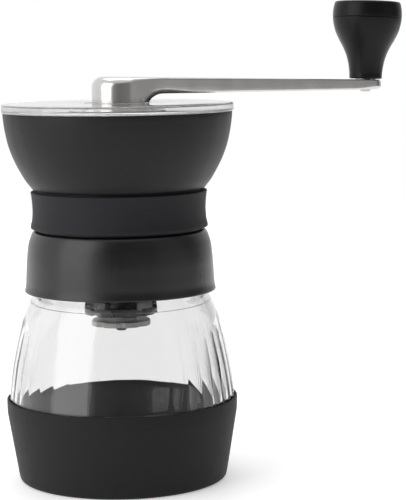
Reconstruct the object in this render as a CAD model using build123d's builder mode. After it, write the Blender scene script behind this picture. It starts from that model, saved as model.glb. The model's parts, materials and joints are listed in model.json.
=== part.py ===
from build123d import *
import os
from math import cos, radians, sin, tan

os.makedirs("parts", exist_ok=True)

# A hand crank coffee grinder. Millimetres, +Z up. The origin is the centre of the flat
# underside, on the mill's axis, and the crank points along +X.

# ---- Levels on the mill's axis ----
SLEEVE_TOP = 33.2
GLASS_BOTTOM = 2.5
COLLAR_BOTTOM = 76.4
MOUTH_TOP = 95.5
GASKET_THICKNESS = 2.0
DECK_BOTTOM = MOUTH_TOP + GASKET_THICKNESS
DECK_TOP = 100.9
BAND_BOTTOM = 101.8
BAND_TOP = 116.4
BOWL_BOTTOM = 117.3
HOPPER_RIM = 147.8
LID_TOP = 151.2

# ---- Radii of the body ----
WAIST_RADIUS = 33.0
WAIST_WALL = 2.1
BOWL_WALL = 2.3
RIM_RADIUS = 45.7
RIM_INNER_RADIUS = RIM_RADIUS - BOWL_WALL
THROAT_RADIUS = 24.4
BURR_SEAT_RADIUS = 22.2
BURR_LIP_RADIUS = 20.6
BURR_SEAT_TOP = 96.5
THROAT_BOTTOM = 79.5

# ---- Jar ----
NECK_RADIUS = 33.6
NECK_INNER_RADIUS = 31.0
JAR_WIDEST_RADIUS = 45.45
JAR_WIDEST_Z = 33.0
JAR_FOOT_RADIUS = 41.0
JAR_FOOT_Z = 6.0
JAR_BASE_RADIUS = 37.5
GLASS_WALL = 2.7
FLUTES_PER_GROUP = 13
FLUTE_SPACING = 9.0
FLUTE_GROUPS_AT = (-31.0, 149.0)
FLUTE_RADIUS = 2.9

# ---- Jar thread, right hand, with the collar's ridge running midway between its turns ----
THREAD_PITCH = 4.0
THREAD_TURNS = 1.25
THREAD_START = 84.0
THREAD_HEIGHT = 1.4
THREAD_BASE = 1.8
THREAD_CREST = 0.9
THREAD_ROOT = 0.4
COLLAR_BORE_RADIUS = 35.5

# ---- Bearings and shaft ----
TUBE_RADIUS = 7.5
TUBE_BORE = 5.5
TUBE_BOTTOM = 103.2
TUBE_TOP = 138.0
BUSH_LENGTH = 9.0
BUSH_FLANGE = 1.6
BUSH_FLANGE_RADIUS = 7.2
JOURNAL_RADIUS = 3.5
RUNNING_GAP = 0.05
WASHER_THICKNESS = 1.0
WASHER_TOP = TUBE_TOP + BUSH_FLANGE + WASHER_THICKNESS
SHAFT_HEX = 8.0
SHAFT_TOP = 156.2
SHAFT_FLATS = 5.0
FLATS_BOTTOM = 67.4
FLATS_TOP = 96.0
STUD_RADIUS = 2.3
SHAFT_END = 59.3
CLIP_TOP = 101.4
CLIP_THICKNESS = 0.8
GROOVE_RADIUS = 2.9
SPRING_SEAT = 99.75

# ---- Burrs and the grind adjuster ----
BURR_RADIUS = 22.0
BURR_BOTTOM = 76.5
BURR_POCKET_FLOOR = 89.0
BURR_POCKET_RADIUS = 6.2
BURR_TOP = 98.0
BURR_HEX = 12.0
BURR_TEETH = 32
BURR_FEEDS = 7
CARRIER_BOTTOM = 71.2
CARRIER_RADIUS = 11.2
NECK_COLLAR_RADIUS = 6.4
CLICK_BOTTOM = 66.5
CLICK_RADIUS = 14.6
CLICK_BLOCKS = 9
DIAL_BOTTOM = 61.8
DIAL_TOP = 64.3
DIAL_RADIUS = 11.9
DIAL_LOBES = 8
NUT_HEX = 8.0

# ---- Lid ----
LID_RADIUS = 46.3
LID_HOLE_RADIUS = 13.2
LID_PLATE = 2.3
LID_RING_RADIUS = 42.6
LID_RING_WALL = 1.5
LID_RING_DROP = 2.4

# ---- Crank ----
CRANK_RADIUS = 133.5
HUB_RADIUS = 10.9
HUB_OFFSET = 0.9
HUB_BOTTOM = 143.0
HUB_TOP = 161.6
ARM_END_RADIUS = 6.8
ARM_SLOPE = 1.79
ARM_UNDERSIDE = 154.6
ARM_UNDERSIDE_END = 153.1
GOOSENECK_RADIUS = 6.5
ARM_ROUNDING = 2.0
ARM_TOP_AT_KNOB = HUB_TOP - CRANK_RADIUS * tan(radians(ARM_SLOPE))

# ---- Knob, on a pin that leans outwards with the arm ----
KNOB_LEAN = 2.4
KNOB_GAP = 0.3
KNOB_NECK_RADIUS = 7.2
KNOB_RADIUS = 15.2
KNOB_SEAM = 27.2
KNOB_HEIGHT = 34.7
PIN_RADIUS = 3.0
PIN_SHANK_RADIUS = 2.05
PIN_CLIP = 24.6
RIVET_TOP = 4.4
PIN_TOP = 26.4
CAP_RECESS_RADIUS = 10.0
CAP_RECESS_FLOOR = 23.6
CAP_FLAT_RADIUS = 12.9
CAP_CROWN = 0.5

KNOB_PLANE = Plane(
    origin=(CRANK_RADIUS, 0, ARM_TOP_AT_KNOB),
    x_dir=(cos(radians(KNOB_LEAN)), 0, -sin(radians(KNOB_LEAN))),
    z_dir=(sin(radians(KNOB_LEAN)), 0, cos(radians(KNOB_LEAN))),
)
KNOB_PROFILE = Plane(origin=KNOB_PLANE.origin, x_dir=KNOB_PLANE.x_dir, z_dir=-KNOB_PLANE.y_dir)
KNOB_AXIS = Axis(KNOB_PLANE.origin, KNOB_PLANE.z_dir)


def thread_ridge(wall_radius, crest_radius, start):
    """A helical ridge of trapezoid section, its root sunk in the wall that carries it."""
    inward = 1 if crest_radius > wall_radius else -1
    root = wall_radius - inward * THREAD_ROOT
    with BuildPart() as ridge:
        with BuildLine() as path:
            Helix(THREAD_PITCH, THREAD_PITCH * THREAD_TURNS, root, center=(0, 0, start))
        depth = abs(crest_radius - root) * inward
        with BuildSketch(Plane(origin=path.line @ 0, x_dir=(1, 0, 0), z_dir=path.line % 0)):
            with BuildLine():
                Polyline(
                    (0, -THREAD_BASE / 2),
                    (depth, -THREAD_CREST / 2),
                    (depth, THREAD_CREST / 2),
                    (0, THREAD_BASE / 2),
                    close=True,
                )
            make_face()
        sweep(path=path.line, is_frenet=True)
    return ridge.part


def flute_cutter():
    """A long tapered finger that hollows one flute, shallow at its pointed top."""
    stations = ((61.5, 40.6, 0.0), (47.0, 43.75, 0.55), (33.0, 45.45, 0.8), (10.0, 41.7, 0.5))
    with BuildPart() as cutter:
        for height, wall, depth in stations:
            with BuildSketch(Plane.XY.offset(height)):
                with Locations((wall + FLUTE_RADIUS - depth, 0)):
                    Circle(FLUTE_RADIUS)
        loft(ruled=True)
    return cutter.part


def make_glass_jar():
    """Pressed glass jar: threaded neck, sloping shoulder, widest above a tapered foot."""
    ridge = thread_ridge(NECK_RADIUS, NECK_RADIUS + THREAD_HEIGHT, THREAD_START)
    cutter = flute_cutter()
    with BuildPart() as glass_jar:
        with BuildSketch(Plane.XZ):
            with BuildLine():
                Polyline((0, GLASS_BOTTOM), (JAR_BASE_RADIUS, GLASS_BOTTOM))
                foot = ThreePointArc(
                    (JAR_BASE_RADIUS, GLASS_BOTTOM), (40.0, 3.6), (JAR_FOOT_RADIUS, JAR_FOOT_Z)
                )
                side = Line(foot @ 1, (JAR_WIDEST_RADIUS, JAR_WIDEST_Z))
                shoulder = Spline(
                    side @ 1,
                    (43.7, 47.1),
                    (41.0, 60.1),
                    (37.7, 69.9),
                    (NECK_RADIUS, 78.5),
                    tangents=((0, 1), (0, 1)),
                )
                Polyline(
                    shoulder @ 1,
                    (NECK_RADIUS, MOUTH_TOP),
                    (NECK_INNER_RADIUS, MOUTH_TOP),
                    (NECK_INNER_RADIUS, 77.5),
                )
                inside = Spline(
                    (NECK_INNER_RADIUS, 77.5),
                    (35.3, 68.7),
                    (38.4, 59.4),
                    (41.0, 46.8),
                    (JAR_WIDEST_RADIUS - GLASS_WALL, JAR_WIDEST_Z),
                    tangents=((0, -1), (0, -1)),
                )
                heel = Line(inside @ 1, (38.6, 10.0))
                Polyline(heel @ 1, (35.5, 6.8), (0, 6.5), (0, GLASS_BOTTOM))
            make_face()
        revolve(axis=Axis.Z)
        for middle in FLUTE_GROUPS_AT:
            first = middle - FLUTE_SPACING * (FLUTES_PER_GROUP - 1) / 2
            reach = FLUTE_SPACING * (FLUTES_PER_GROUP - 1)
            with PolarLocations(0, FLUTES_PER_GROUP, first, reach, endpoint=True):
                add(cutter, mode=Mode.SUBTRACT)
        add(ridge)
    glass_jar.part.label = "glass_jar"
    export_step(glass_jar.part, "parts/glass_jar.step")


def make_base_sleeve():
    """Silicone boot stretched over the foot of the jar."""
    with BuildPart() as base_sleeve:
        with BuildSketch(Plane.XZ):
            with BuildLine():
                Line((0, 0), (39.6, 0))
                corner = ThreePointArc((39.6, 0), (41.4, 0.75), (42.25, 2.6))
                wall = Line(corner @ 1, (46.35, 27.5))
                lip = Spline(wall @ 1, (46.5, SLEEVE_TOP - 0.5), tangents=((4.1, 24.9), (0, 1)))
                Line(lip @ 1, (46.2, SLEEVE_TOP))
                Line((46.2, SLEEVE_TOP), (JAR_WIDEST_RADIUS, SLEEVE_TOP))
                Line((JAR_WIDEST_RADIUS, SLEEVE_TOP), (JAR_WIDEST_RADIUS, JAR_WIDEST_Z))
                Line((JAR_WIDEST_RADIUS, JAR_WIDEST_Z), (JAR_FOOT_RADIUS, JAR_FOOT_Z))
                ThreePointArc((JAR_FOOT_RADIUS, JAR_FOOT_Z), (40.0, 3.6), (JAR_BASE_RADIUS, GLASS_BOTTOM))
                Polyline((JAR_BASE_RADIUS, GLASS_BOTTOM), (0, GLASS_BOTTOM), (0, 0))
            make_face()
        revolve(axis=Axis.Z)
    base_sleeve.part.label = "base_sleeve"
    export_step(base_sleeve.part, "parts/base_sleeve.step")


def make_jar_gasket():
    """Flat sealing ring between the mouth of the jar and the deck of the collar."""
    with BuildPart() as jar_gasket:
        with BuildSketch(Plane.XY.offset(MOUTH_TOP)):
            Circle(34.6)
            Circle(30.9, mode=Mode.SUBTRACT)
        extrude(amount=GASKET_THICKNESS)
    jar_gasket.part.label = "jar_gasket"
    export_step(jar_gasket.part, "parts/jar_gasket.step")


def make_screw_collar():
    """Bell under the grip band: a deck that carries the hopper, and the jar's thread inside."""
    ridge = thread_ridge(
        COLLAR_BORE_RADIUS, COLLAR_BORE_RADIUS - THREAD_HEIGHT, THREAD_START - THREAD_PITCH / 2
    )
    with BuildPart() as screw_collar:
        with BuildSketch(Plane.XZ):
            with BuildLine():
                Polyline((25.2, DECK_BOTTOM), (25.2, DECK_TOP), (33.2, DECK_TOP))
                crown = Spline(
                    (33.2, DECK_TOP), (35.5, 98.9), (37.05, 92.0), tangents=((1, 0), (0.12, -1))
                )
                skirt = Spline(crown @ 1, (37.75, 81.5), (38.35, COLLAR_BOTTOM), tangents=((0.12, -1), (0.2, -1)))
                Polyline(
                    skirt @ 1,
                    (COLLAR_BORE_RADIUS, COLLAR_BOTTOM),
                    (COLLAR_BORE_RADIUS, MOUTH_TOP),
                    (34.8, DECK_BOTTOM),
                    (25.2, DECK_BOTTOM),
                )
            make_face()
        revolve(axis=Axis.Z)
        with BuildSketch(Plane.XY.offset(DECK_BOTTOM)):
            with PolarLocations(28.0, 4, 45):
                Circle(1.6)
        extrude(amount=DECK_TOP - DECK_BOTTOM, mode=Mode.SUBTRACT)
        with BuildSketch(Plane.XY.offset(DECK_BOTTOM)):
            with PolarLocations(28.0, 4, 45):
                Circle(2.6)
        extrude(amount=1.7, mode=Mode.SUBTRACT)
        add(ridge)
    screw_collar.part.label = "screw_collar"
    export_step(screw_collar.part, "parts/screw_collar.step")


def make_collar_screws():
    """Four screws that hold the hopper down on the deck."""
    with BuildPart() as collar_screws:
        with BuildSketch(Plane.XY.offset(DECK_BOTTOM + 0.1)):
            with PolarLocations(28.0, 4, 45):
                Circle(2.4)
        extrude(amount=1.6)
        with BuildSketch(Plane.XY.offset(DECK_BOTTOM + 1.7)):
            with PolarLocations(28.0, 4, 45):
                Circle(1.2)
        extrude(amount=6.0)
        with BuildSketch(Plane.XY.offset(DECK_BOTTOM + 0.1)):
            with PolarLocations(28.0, 4, 45):
                Rectangle(2.6, 0.6)
                Rectangle(0.6, 2.6)
        extrude(amount=0.9, mode=Mode.SUBTRACT)
    collar_screws.part.label = "collar_screws"
    export_step(collar_screws.part, "parts/collar_screws.step")


def make_hopper():
    """Bowl, waist and throat in one moulding, with the bearing tube on three ribs."""
    with BuildPart() as hopper:
        with BuildSketch(Plane.XZ):
            with BuildLine():
                Polyline(
                    (BURR_SEAT_RADIUS, THROAT_BOTTOM),
                    (THROAT_RADIUS, THROAT_BOTTOM),
                    (THROAT_RADIUS, 103.0),
                    (WAIST_RADIUS - WAIST_WALL, 112.7),
                    (WAIST_RADIUS - WAIST_WALL, DECK_TOP),
                    (WAIST_RADIUS, DECK_TOP),
                    (WAIST_RADIUS, BOWL_BOTTOM),
                    (34.4, BOWL_BOTTOM),
                )
                outside = Spline(
                    (34.4, BOWL_BOTTOM), (41.0, 127.9), (44.3, 137.4), (RIM_RADIUS, HOPPER_RIM)
                )
                Line(outside @ 1, (RIM_INNER_RADIUS, HOPPER_RIM))
                inside = Spline(
                    (RIM_INNER_RADIUS, HOPPER_RIM), (42.0, 137.9), (38.9, 128.9), (32.3, 118.5)
                )
                Polyline(
                    inside @ 1,
                    (BURR_LIP_RADIUS, 101.0),
                    (BURR_LIP_RADIUS, BURR_SEAT_TOP),
                    (BURR_SEAT_RADIUS, BURR_SEAT_TOP),
                    (BURR_SEAT_RADIUS, THROAT_BOTTOM),
                )
            make_face()
        revolve(axis=Axis.Z)
        for angle in (90, 210, 330):
            with BuildSketch(Plane.XZ.rotated((0, 0, angle))):
                with BuildLine():
                    Polyline((6.5, 104.5), (24.0, 104.5), (31.5, 115.5), (33.6, 119.5), (6.5, 127.0), close=True)
                make_face()
            extrude(amount=1.7, both=True)
        with BuildSketch(Plane.XY.offset(TUBE_BOTTOM)):
            Circle(TUBE_RADIUS)
        extrude(amount=TUBE_TOP - TUBE_BOTTOM)
        with BuildSketch(Plane.XY.offset(TUBE_BOTTOM)):
            Circle(TUBE_BORE)
        extrude(amount=TUBE_TOP - TUBE_BOTTOM, mode=Mode.SUBTRACT)
        with BuildSketch(Plane.XY.offset(DECK_TOP)):
            with PolarLocations(28.0, 4, 45):
                Circle(3.0)
        extrude(amount=5.6)
        with BuildSketch(Plane.XY.offset(DECK_TOP)):
            with PolarLocations(28.0, 4, 45):
                Circle(1.25)
        extrude(amount=4.6, mode=Mode.SUBTRACT)
        with BuildSketch(Plane.XY.offset(THROAT_BOTTOM)):
            with PolarLocations(BURR_SEAT_RADIUS, 3, 30):
                Rectangle(2.6, 4.3)
        extrude(amount=5.0, mode=Mode.SUBTRACT)
        with BuildSketch(Plane.XY.offset(82.0)):
            with PolarLocations(THROAT_RADIUS, 3, 90):
                Rectangle(1.2, 5.0)
        extrude(amount=2.0)
    hopper.part.label = "hopper"
    export_step(hopper.part, "parts/hopper.step")


def make_grip_band():
    """Silicone band round the waist, waisted itself, with a thin flared lip at each edge."""
    with BuildPart() as grip_band:
        with BuildSketch(Plane.XZ):
            with BuildLine():
                Polyline((WAIST_RADIUS, BAND_BOTTOM), (35.5, BAND_BOTTOM), (35.35, BAND_BOTTOM + 0.9))
                hollow = Spline(
                    (35.35, BAND_BOTTOM + 0.9),
                    (34.65, 110.0),
                    (35.2, BAND_TOP - 0.8),
                    tangents=((-0.25, 1), (0.25, 1)),
                )
                Polyline(hollow @ 1, (35.3, BAND_TOP), (WAIST_RADIUS, BAND_TOP), (WAIST_RADIUS, BAND_BOTTOM))
            make_face()
        revolve(axis=Axis.Z)
    grip_band.part.label = "grip_band"
    export_step(grip_band.part, "parts/grip_band.step")


def cone_cutter(low, high, width, depth, sweep_angle):
    """A bar laid along a cone from (radius, z) low to high, turned sideways a little."""
    turned = radians(sweep_angle)
    start = Vector(low[0], 0, low[1])
    finish = Vector(high[0] * cos(turned), high[0] * sin(turned), high[1])
    run = finish - start
    with BuildPart() as cutter:
        with BuildSketch(Plane(origin=start, x_dir=(0, 1, 0), z_dir=run)):
            Rectangle(width, depth)
        extrude(amount=run.length)
    return cutter.part


def make_outer_burr():
    """Fixed ceramic ring burr, held from turning by three lugs."""
    tooth = cone_cutter((18.9, 78.0), (15.6, 88.2), 0.8, 1.2, 12)
    feed = cone_cutter((16.6, 87.5), (21.4, 97.5), 3.0, 2.4, -10)
    with BuildPart() as outer_burr:
        with BuildSketch(Plane.XZ):
            with BuildLine():
                Polyline(
                    (18.9, THROAT_BOTTOM),
                    (BURR_RADIUS, THROAT_BOTTOM),
                    (BURR_RADIUS, BURR_SEAT_TOP),
                    (20.0, BURR_SEAT_TOP),
                    (15.5, 88.0),
                    close=True,
                )
            make_face()
        revolve(axis=Axis.Z)
        with PolarLocations(0, BURR_TEETH):
            add(tooth, mode=Mode.SUBTRACT)
        with PolarLocations(0, BURR_FEEDS):
            add(feed, mode=Mode.SUBTRACT)
        with BuildSketch(Plane.XY.offset(THROAT_BOTTOM)):
            with PolarLocations(BURR_RADIUS, 3, 30):
                Rectangle(2.4, 4.0)
        extrude(amount=4.6)
    outer_burr.part.label = "outer_burr"
    export_step(outer_burr.part, "parts/outer_burr.step")


def make_burr_retainer():
    """Cup ring snapped over the throat, under the outer burr."""
    with BuildPart() as burr_retainer:
        with BuildSketch(Plane.XZ):
            with BuildLine():
                Polyline(
                    (20.2, 77.5),
                    (26.4, 77.5),
                    (26.4, 86.0),
                    (THROAT_RADIUS + RUNNING_GAP, 86.0),
                    (THROAT_RADIUS + RUNNING_GAP, THROAT_BOTTOM),
                    (20.2, THROAT_BOTTOM),
                    close=True,
                )
            make_face()
        revolve(axis=Axis.Z)
        with BuildSketch(Plane.XY.offset(81.8)):
            with PolarLocations(25.4, 3, 90):
                Rectangle(3.0, 5.4)
        extrude(amount=2.4, mode=Mode.SUBTRACT)
    burr_retainer.part.label = "burr_retainer"
    export_step(burr_retainer.part, "parts/burr_retainer.step")


def make_bushes():
    """Two flanged bushes: the upper one sits on the tube, the lower one hangs under it."""
    for name, flange_bottom, body_bottom in (
        ("upper_bush", TUBE_TOP, TUBE_TOP - BUSH_LENGTH),
        ("lower_bush", TUBE_BOTTOM - BUSH_FLANGE, TUBE_BOTTOM),
    ):
        with BuildPart() as bush:
            with BuildSketch(Plane.XY.offset(flange_bottom)):
                Circle(BUSH_FLANGE_RADIUS)
            extrude(amount=BUSH_FLANGE)
            with BuildSketch(Plane.XY.offset(body_bottom)):
                Circle(TUBE_BORE - 0.02)
            extrude(amount=BUSH_LENGTH)
            with BuildSketch(Plane.XY.offset(TUBE_BOTTOM - BUSH_FLANGE)):
                Circle(JOURNAL_RADIUS + RUNNING_GAP)
            extrude(amount=TUBE_TOP - TUBE_BOTTOM + 2 * BUSH_FLANGE, mode=Mode.SUBTRACT)
        bush.part.label = name
        export_step(bush.part, f"parts/{name}.step")


def make_main_shaft():
    """Steel shaft: hexagon for the crank, journal, clip groove, two flats and a stud end."""
    with BuildPart() as main_shaft:
        with BuildSketch(Plane.XY.offset(WASHER_TOP)):
            RegularPolygon(SHAFT_HEX / 2, 6, major_radius=False)
        extrude(amount=SHAFT_TOP - WASHER_TOP)
        chamfer(main_shaft.faces().sort_by(Axis.Z)[-1].edges(), 0.7)
        with BuildSketch(Plane.XY.offset(FLATS_TOP)):
            Circle(JOURNAL_RADIUS)
        extrude(amount=WASHER_TOP - FLATS_TOP)
        with BuildSketch(Plane.XY.offset(FLATS_BOTTOM)):
            Circle(JOURNAL_RADIUS)
            Rectangle(2 * JOURNAL_RADIUS, SHAFT_FLATS, mode=Mode.INTERSECT)
        extrude(amount=FLATS_TOP - FLATS_BOTTOM)
        with BuildSketch(Plane.XY.offset(SHAFT_END)):
            Circle(STUD_RADIUS)
        extrude(amount=FLATS_BOTTOM - SHAFT_END)
        chamfer(main_shaft.faces().sort_by(Axis.Z)[0].edges(), 0.5)
        with BuildSketch(Plane.XY.offset(CLIP_TOP - CLIP_THICKNESS - 0.05)):
            Circle(JOURNAL_RADIUS + 1)
            Circle(GROOVE_RADIUS, mode=Mode.SUBTRACT)
        extrude(amount=CLIP_THICKNESS + 0.1, mode=Mode.SUBTRACT)
    main_shaft.part.label = "main_shaft"
    export_step(main_shaft.part, "parts/main_shaft.step")


def make_shaft_clip():
    """Open ring clip in the shaft's groove."""
    with BuildPart() as shaft_clip:
        with BuildSketch(Plane.XY.offset(CLIP_TOP - CLIP_THICKNESS)):
            Circle(6.0)
            Circle(GROOVE_RADIUS, mode=Mode.SUBTRACT)
            with Locations((4.5, 0)):
                Rectangle(5.0, 4.6, mode=Mode.SUBTRACT)
        extrude(amount=CLIP_THICKNESS)
    shaft_clip.part.label = "shaft_clip"
    export_step(shaft_clip.part, "parts/shaft_clip.step")


def make_shaft_washers():
    """Thrust washer under the shaft's hexagon, and the washer that the spring pushes on."""
    for name, bottom, thickness, radius in (
        ("thrust_washer", WASHER_TOP - WASHER_THICKNESS, WASHER_THICKNESS, 6.8),
        ("spring_washer", SPRING_SEAT, 0.8, 6.0),
    ):
        with BuildPart() as washer:
            with BuildSketch(Plane.XY.offset(bottom)):
                Circle(radius)
                Circle(JOURNAL_RADIUS + RUNNING_GAP, mode=Mode.SUBTRACT)
            extrude(amount=thickness)
        washer.part.label = name
        export_step(washer.part, f"parts/{name}.step")


def make_burr_spring():
    """Compression spring that pushes the inner burr down on the adjuster."""
    wire = 0.5
    low = BURR_POCKET_FLOOR + wire + 0.1
    high = SPRING_SEAT - wire - 0.1
    with BuildPart() as burr_spring:
        with BuildLine() as path:
            Helix((high - low) / 5, high - low, 4.9, center=(0, 0, low))
        with BuildSketch(Plane(origin=path.line @ 0, z_dir=path.line % 0)):
            Circle(wire)
        sweep(path=path.line, is_frenet=True)
    burr_spring.part.label = "burr_spring"
    export_step(burr_spring.part, "parts/burr_spring.step")


def make_inner_burr():
    """Turning ceramic cone burr with a hexagonal socket below and a spring pocket above."""
    tooth = cone_cutter((18.9, 76.9), (14.9, 88.2), 0.8, 1.1, -12)
    feed = cone_cutter((15.6, 86.6), (8.6, 99.0), 3.4, 2.6, -24)
    with BuildPart() as inner_burr:
        with BuildSketch(Plane.XZ):
            with BuildLine():
                Polyline(
                    (0, BURR_BOTTOM),
                    (17.2, BURR_BOTTOM),
                    (18.9, 77.6),
                    (18.3, THROAT_BOTTOM),
                    (14.9, 88.0),
                    (9.4, BURR_TOP),
                    (BURR_POCKET_RADIUS, BURR_TOP),
                    (BURR_POCKET_RADIUS, BURR_POCKET_FLOOR),
                    (0, BURR_POCKET_FLOOR),
                    close=True,
                )
            make_face()
        revolve(axis=Axis.Z)
        with BuildSketch(Plane.XY.offset(BURR_BOTTOM)):
            RegularPolygon(BURR_HEX / 2 + RUNNING_GAP, 6, major_radius=False)
        extrude(amount=10.6, mode=Mode.SUBTRACT)
        with BuildSketch(Plane.XY.offset(BURR_BOTTOM)):
            Circle(JOURNAL_RADIUS + 0.3)
        extrude(amount=BURR_POCKET_FLOOR - BURR_BOTTOM, mode=Mode.SUBTRACT)
        with PolarLocations(0, BURR_TEETH):
            add(tooth, mode=Mode.SUBTRACT)
        with PolarLocations(0, BURR_FEEDS):
            add(feed, mode=Mode.SUBTRACT)
    inner_burr.part.label = "inner_burr"
    export_step(inner_burr.part, "parts/inner_burr.step")


def cut_shaft_flats(bottom, top):
    """The hole that slides on the shaft's two flats, with its running gap."""
    with BuildSketch(Plane.XY.offset(bottom)) as flats:
        Circle(JOURNAL_RADIUS + RUNNING_GAP)
        Rectangle(2 * JOURNAL_RADIUS + 1, SHAFT_FLATS + 2 * RUNNING_GAP, mode=Mode.INTERSECT)
    extrude(flats.sketch, amount=top - bottom, mode=Mode.SUBTRACT)


def make_burr_carrier():
    """Flanged driver that turns the inner burr with the shaft's flats."""
    with BuildPart() as burr_carrier:
        with BuildSketch(Plane.XY.offset(CARRIER_BOTTOM)):
            Circle(CARRIER_RADIUS)
        extrude(amount=BURR_BOTTOM - CARRIER_BOTTOM)
        with BuildSketch(Plane.XY.offset(BURR_BOTTOM)):
            RegularPolygon(BURR_HEX / 2, 6, major_radius=False)
        extrude(amount=10.0)
        cut_shaft_flats(CARRIER_BOTTOM, BURR_BOTTOM + 10.0)
    burr_carrier.part.label = "burr_carrier"
    export_step(burr_carrier.part, "parts/burr_carrier.step")


def make_click_ring():
    """Castellated ring keyed on the flats, which the adjusting dial clicks against."""
    with BuildPart() as click_ring:
        with BuildSketch(Plane.XY.offset(CLICK_BOTTOM)):
            Circle(12.2)
        extrude(amount=1.1)
        with BuildSketch(Plane.XY.offset(CLICK_BOTTOM + 1.1)):
            Circle(CLICK_RADIUS)
        extrude(amount=1.1)
        with BuildSketch(Plane.XY.offset(CLICK_BOTTOM + 0.2)):
            with PolarLocations((11.6 + CLICK_RADIUS) / 2, CLICK_BLOCKS, 8):
                Rectangle(CLICK_RADIUS - 11.6 - 0.2, 5.6)
        extrude(amount=2.8)
        with BuildSketch(Plane.XY.offset(CLICK_BOTTOM)):
            Circle(NECK_COLLAR_RADIUS)
        extrude(amount=CARRIER_BOTTOM - CLICK_BOTTOM)
        cut_shaft_flats(CLICK_BOTTOM, CARRIER_BOTTOM)
    click_ring.part.label = "click_ring"
    export_step(click_ring.part, "parts/click_ring.step")


def make_adjusting_dial():
    """Lobed dial under the click ring, turned by the fingers to set the grind."""
    with BuildPart() as adjusting_dial:
        with BuildSketch(Plane.XY.offset(DIAL_BOTTOM)):
            Circle(DIAL_RADIUS)
            with PolarLocations(DIAL_RADIUS + 1.2, DIAL_LOBES, 10):
                Circle(2.1, mode=Mode.SUBTRACT)
        extrude(amount=DIAL_TOP - DIAL_BOTTOM)
        chamfer(adjusting_dial.faces().sort_by(Axis.Z)[0].edges(), 0.4)
        with BuildSketch(Plane.XY.offset(DIAL_TOP)):
            Circle(NECK_COLLAR_RADIUS)
        extrude(amount=CLICK_BOTTOM - RUNNING_GAP - DIAL_TOP)
        with BuildSketch(Plane.XY.offset(DIAL_BOTTOM)):
            RegularPolygon(NUT_HEX / 2 + 0.02, 6, major_radius=False)
        extrude(amount=3.9, mode=Mode.SUBTRACT)
        with BuildSketch(Plane.XY.offset(DIAL_BOTTOM)):
            Circle(STUD_RADIUS + 0.4)
        extrude(amount=CLICK_BOTTOM - DIAL_BOTTOM, mode=Mode.SUBTRACT)
    adjusting_dial.part.label = "adjusting_dial"
    export_step(adjusting_dial.part, "parts/adjusting_dial.step")


def make_dial_nut():
    """Hexagonal nut pressed into the dial, which runs on the shaft's stud end."""
    with BuildPart() as dial_nut:
        with BuildSketch(Plane.XY.offset(DIAL_BOTTOM + 0.1)):
            RegularPolygon(NUT_HEX / 2, 6, major_radius=False)
            Circle(STUD_RADIUS + RUNNING_GAP, mode=Mode.SUBTRACT)
        extrude(amount=3.7)
    dial_nut.part.label = "dial_nut"
    export_step(dial_nut.part, "parts/dial_nut.step")


def make_lid():
    """Clear lid: a flat plate with a rim over the hopper's edge and a ring inside it."""
    ring_inner = LID_RING_RADIUS - LID_RING_WALL
    plate_bottom = LID_TOP - LID_PLATE
    with BuildPart() as lid:
        with BuildSketch(Plane.XZ) as section:
            with BuildLine():
                Polyline(
                    (LID_HOLE_RADIUS, plate_bottom),
                    (ring_inner, plate_bottom),
                    (ring_inner, HOPPER_RIM - LID_RING_DROP),
                    (LID_RING_RADIUS, HOPPER_RIM - LID_RING_DROP),
                    (LID_RING_RADIUS, HOPPER_RIM),
                    (LID_RADIUS, HOPPER_RIM),
                    (LID_RADIUS, LID_TOP),
                    (LID_HOLE_RADIUS, LID_TOP),
                    close=True,
                )
            make_face()
            fillet(section.vertices().group_by(Axis.Z)[-1], 0.6)
        revolve(axis=Axis.Z)
    lid.part.label = "lid"
    export_step(lid.part, "parts/lid.step")


def crank_outline(bottom, height):
    """Plan of the crank: a large circle at the hub, a small one at the knob, and their tangents."""
    with BuildPart() as outline:
        with BuildSketch(Plane.XY.offset(bottom)):
            with Locations((HUB_OFFSET, 0)):
                Circle(HUB_RADIUS)
            with Locations((CRANK_RADIUS, 0)):
                Circle(ARM_END_RADIUS)
            make_hull()
        extrude(amount=height)
    return outline.part


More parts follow.
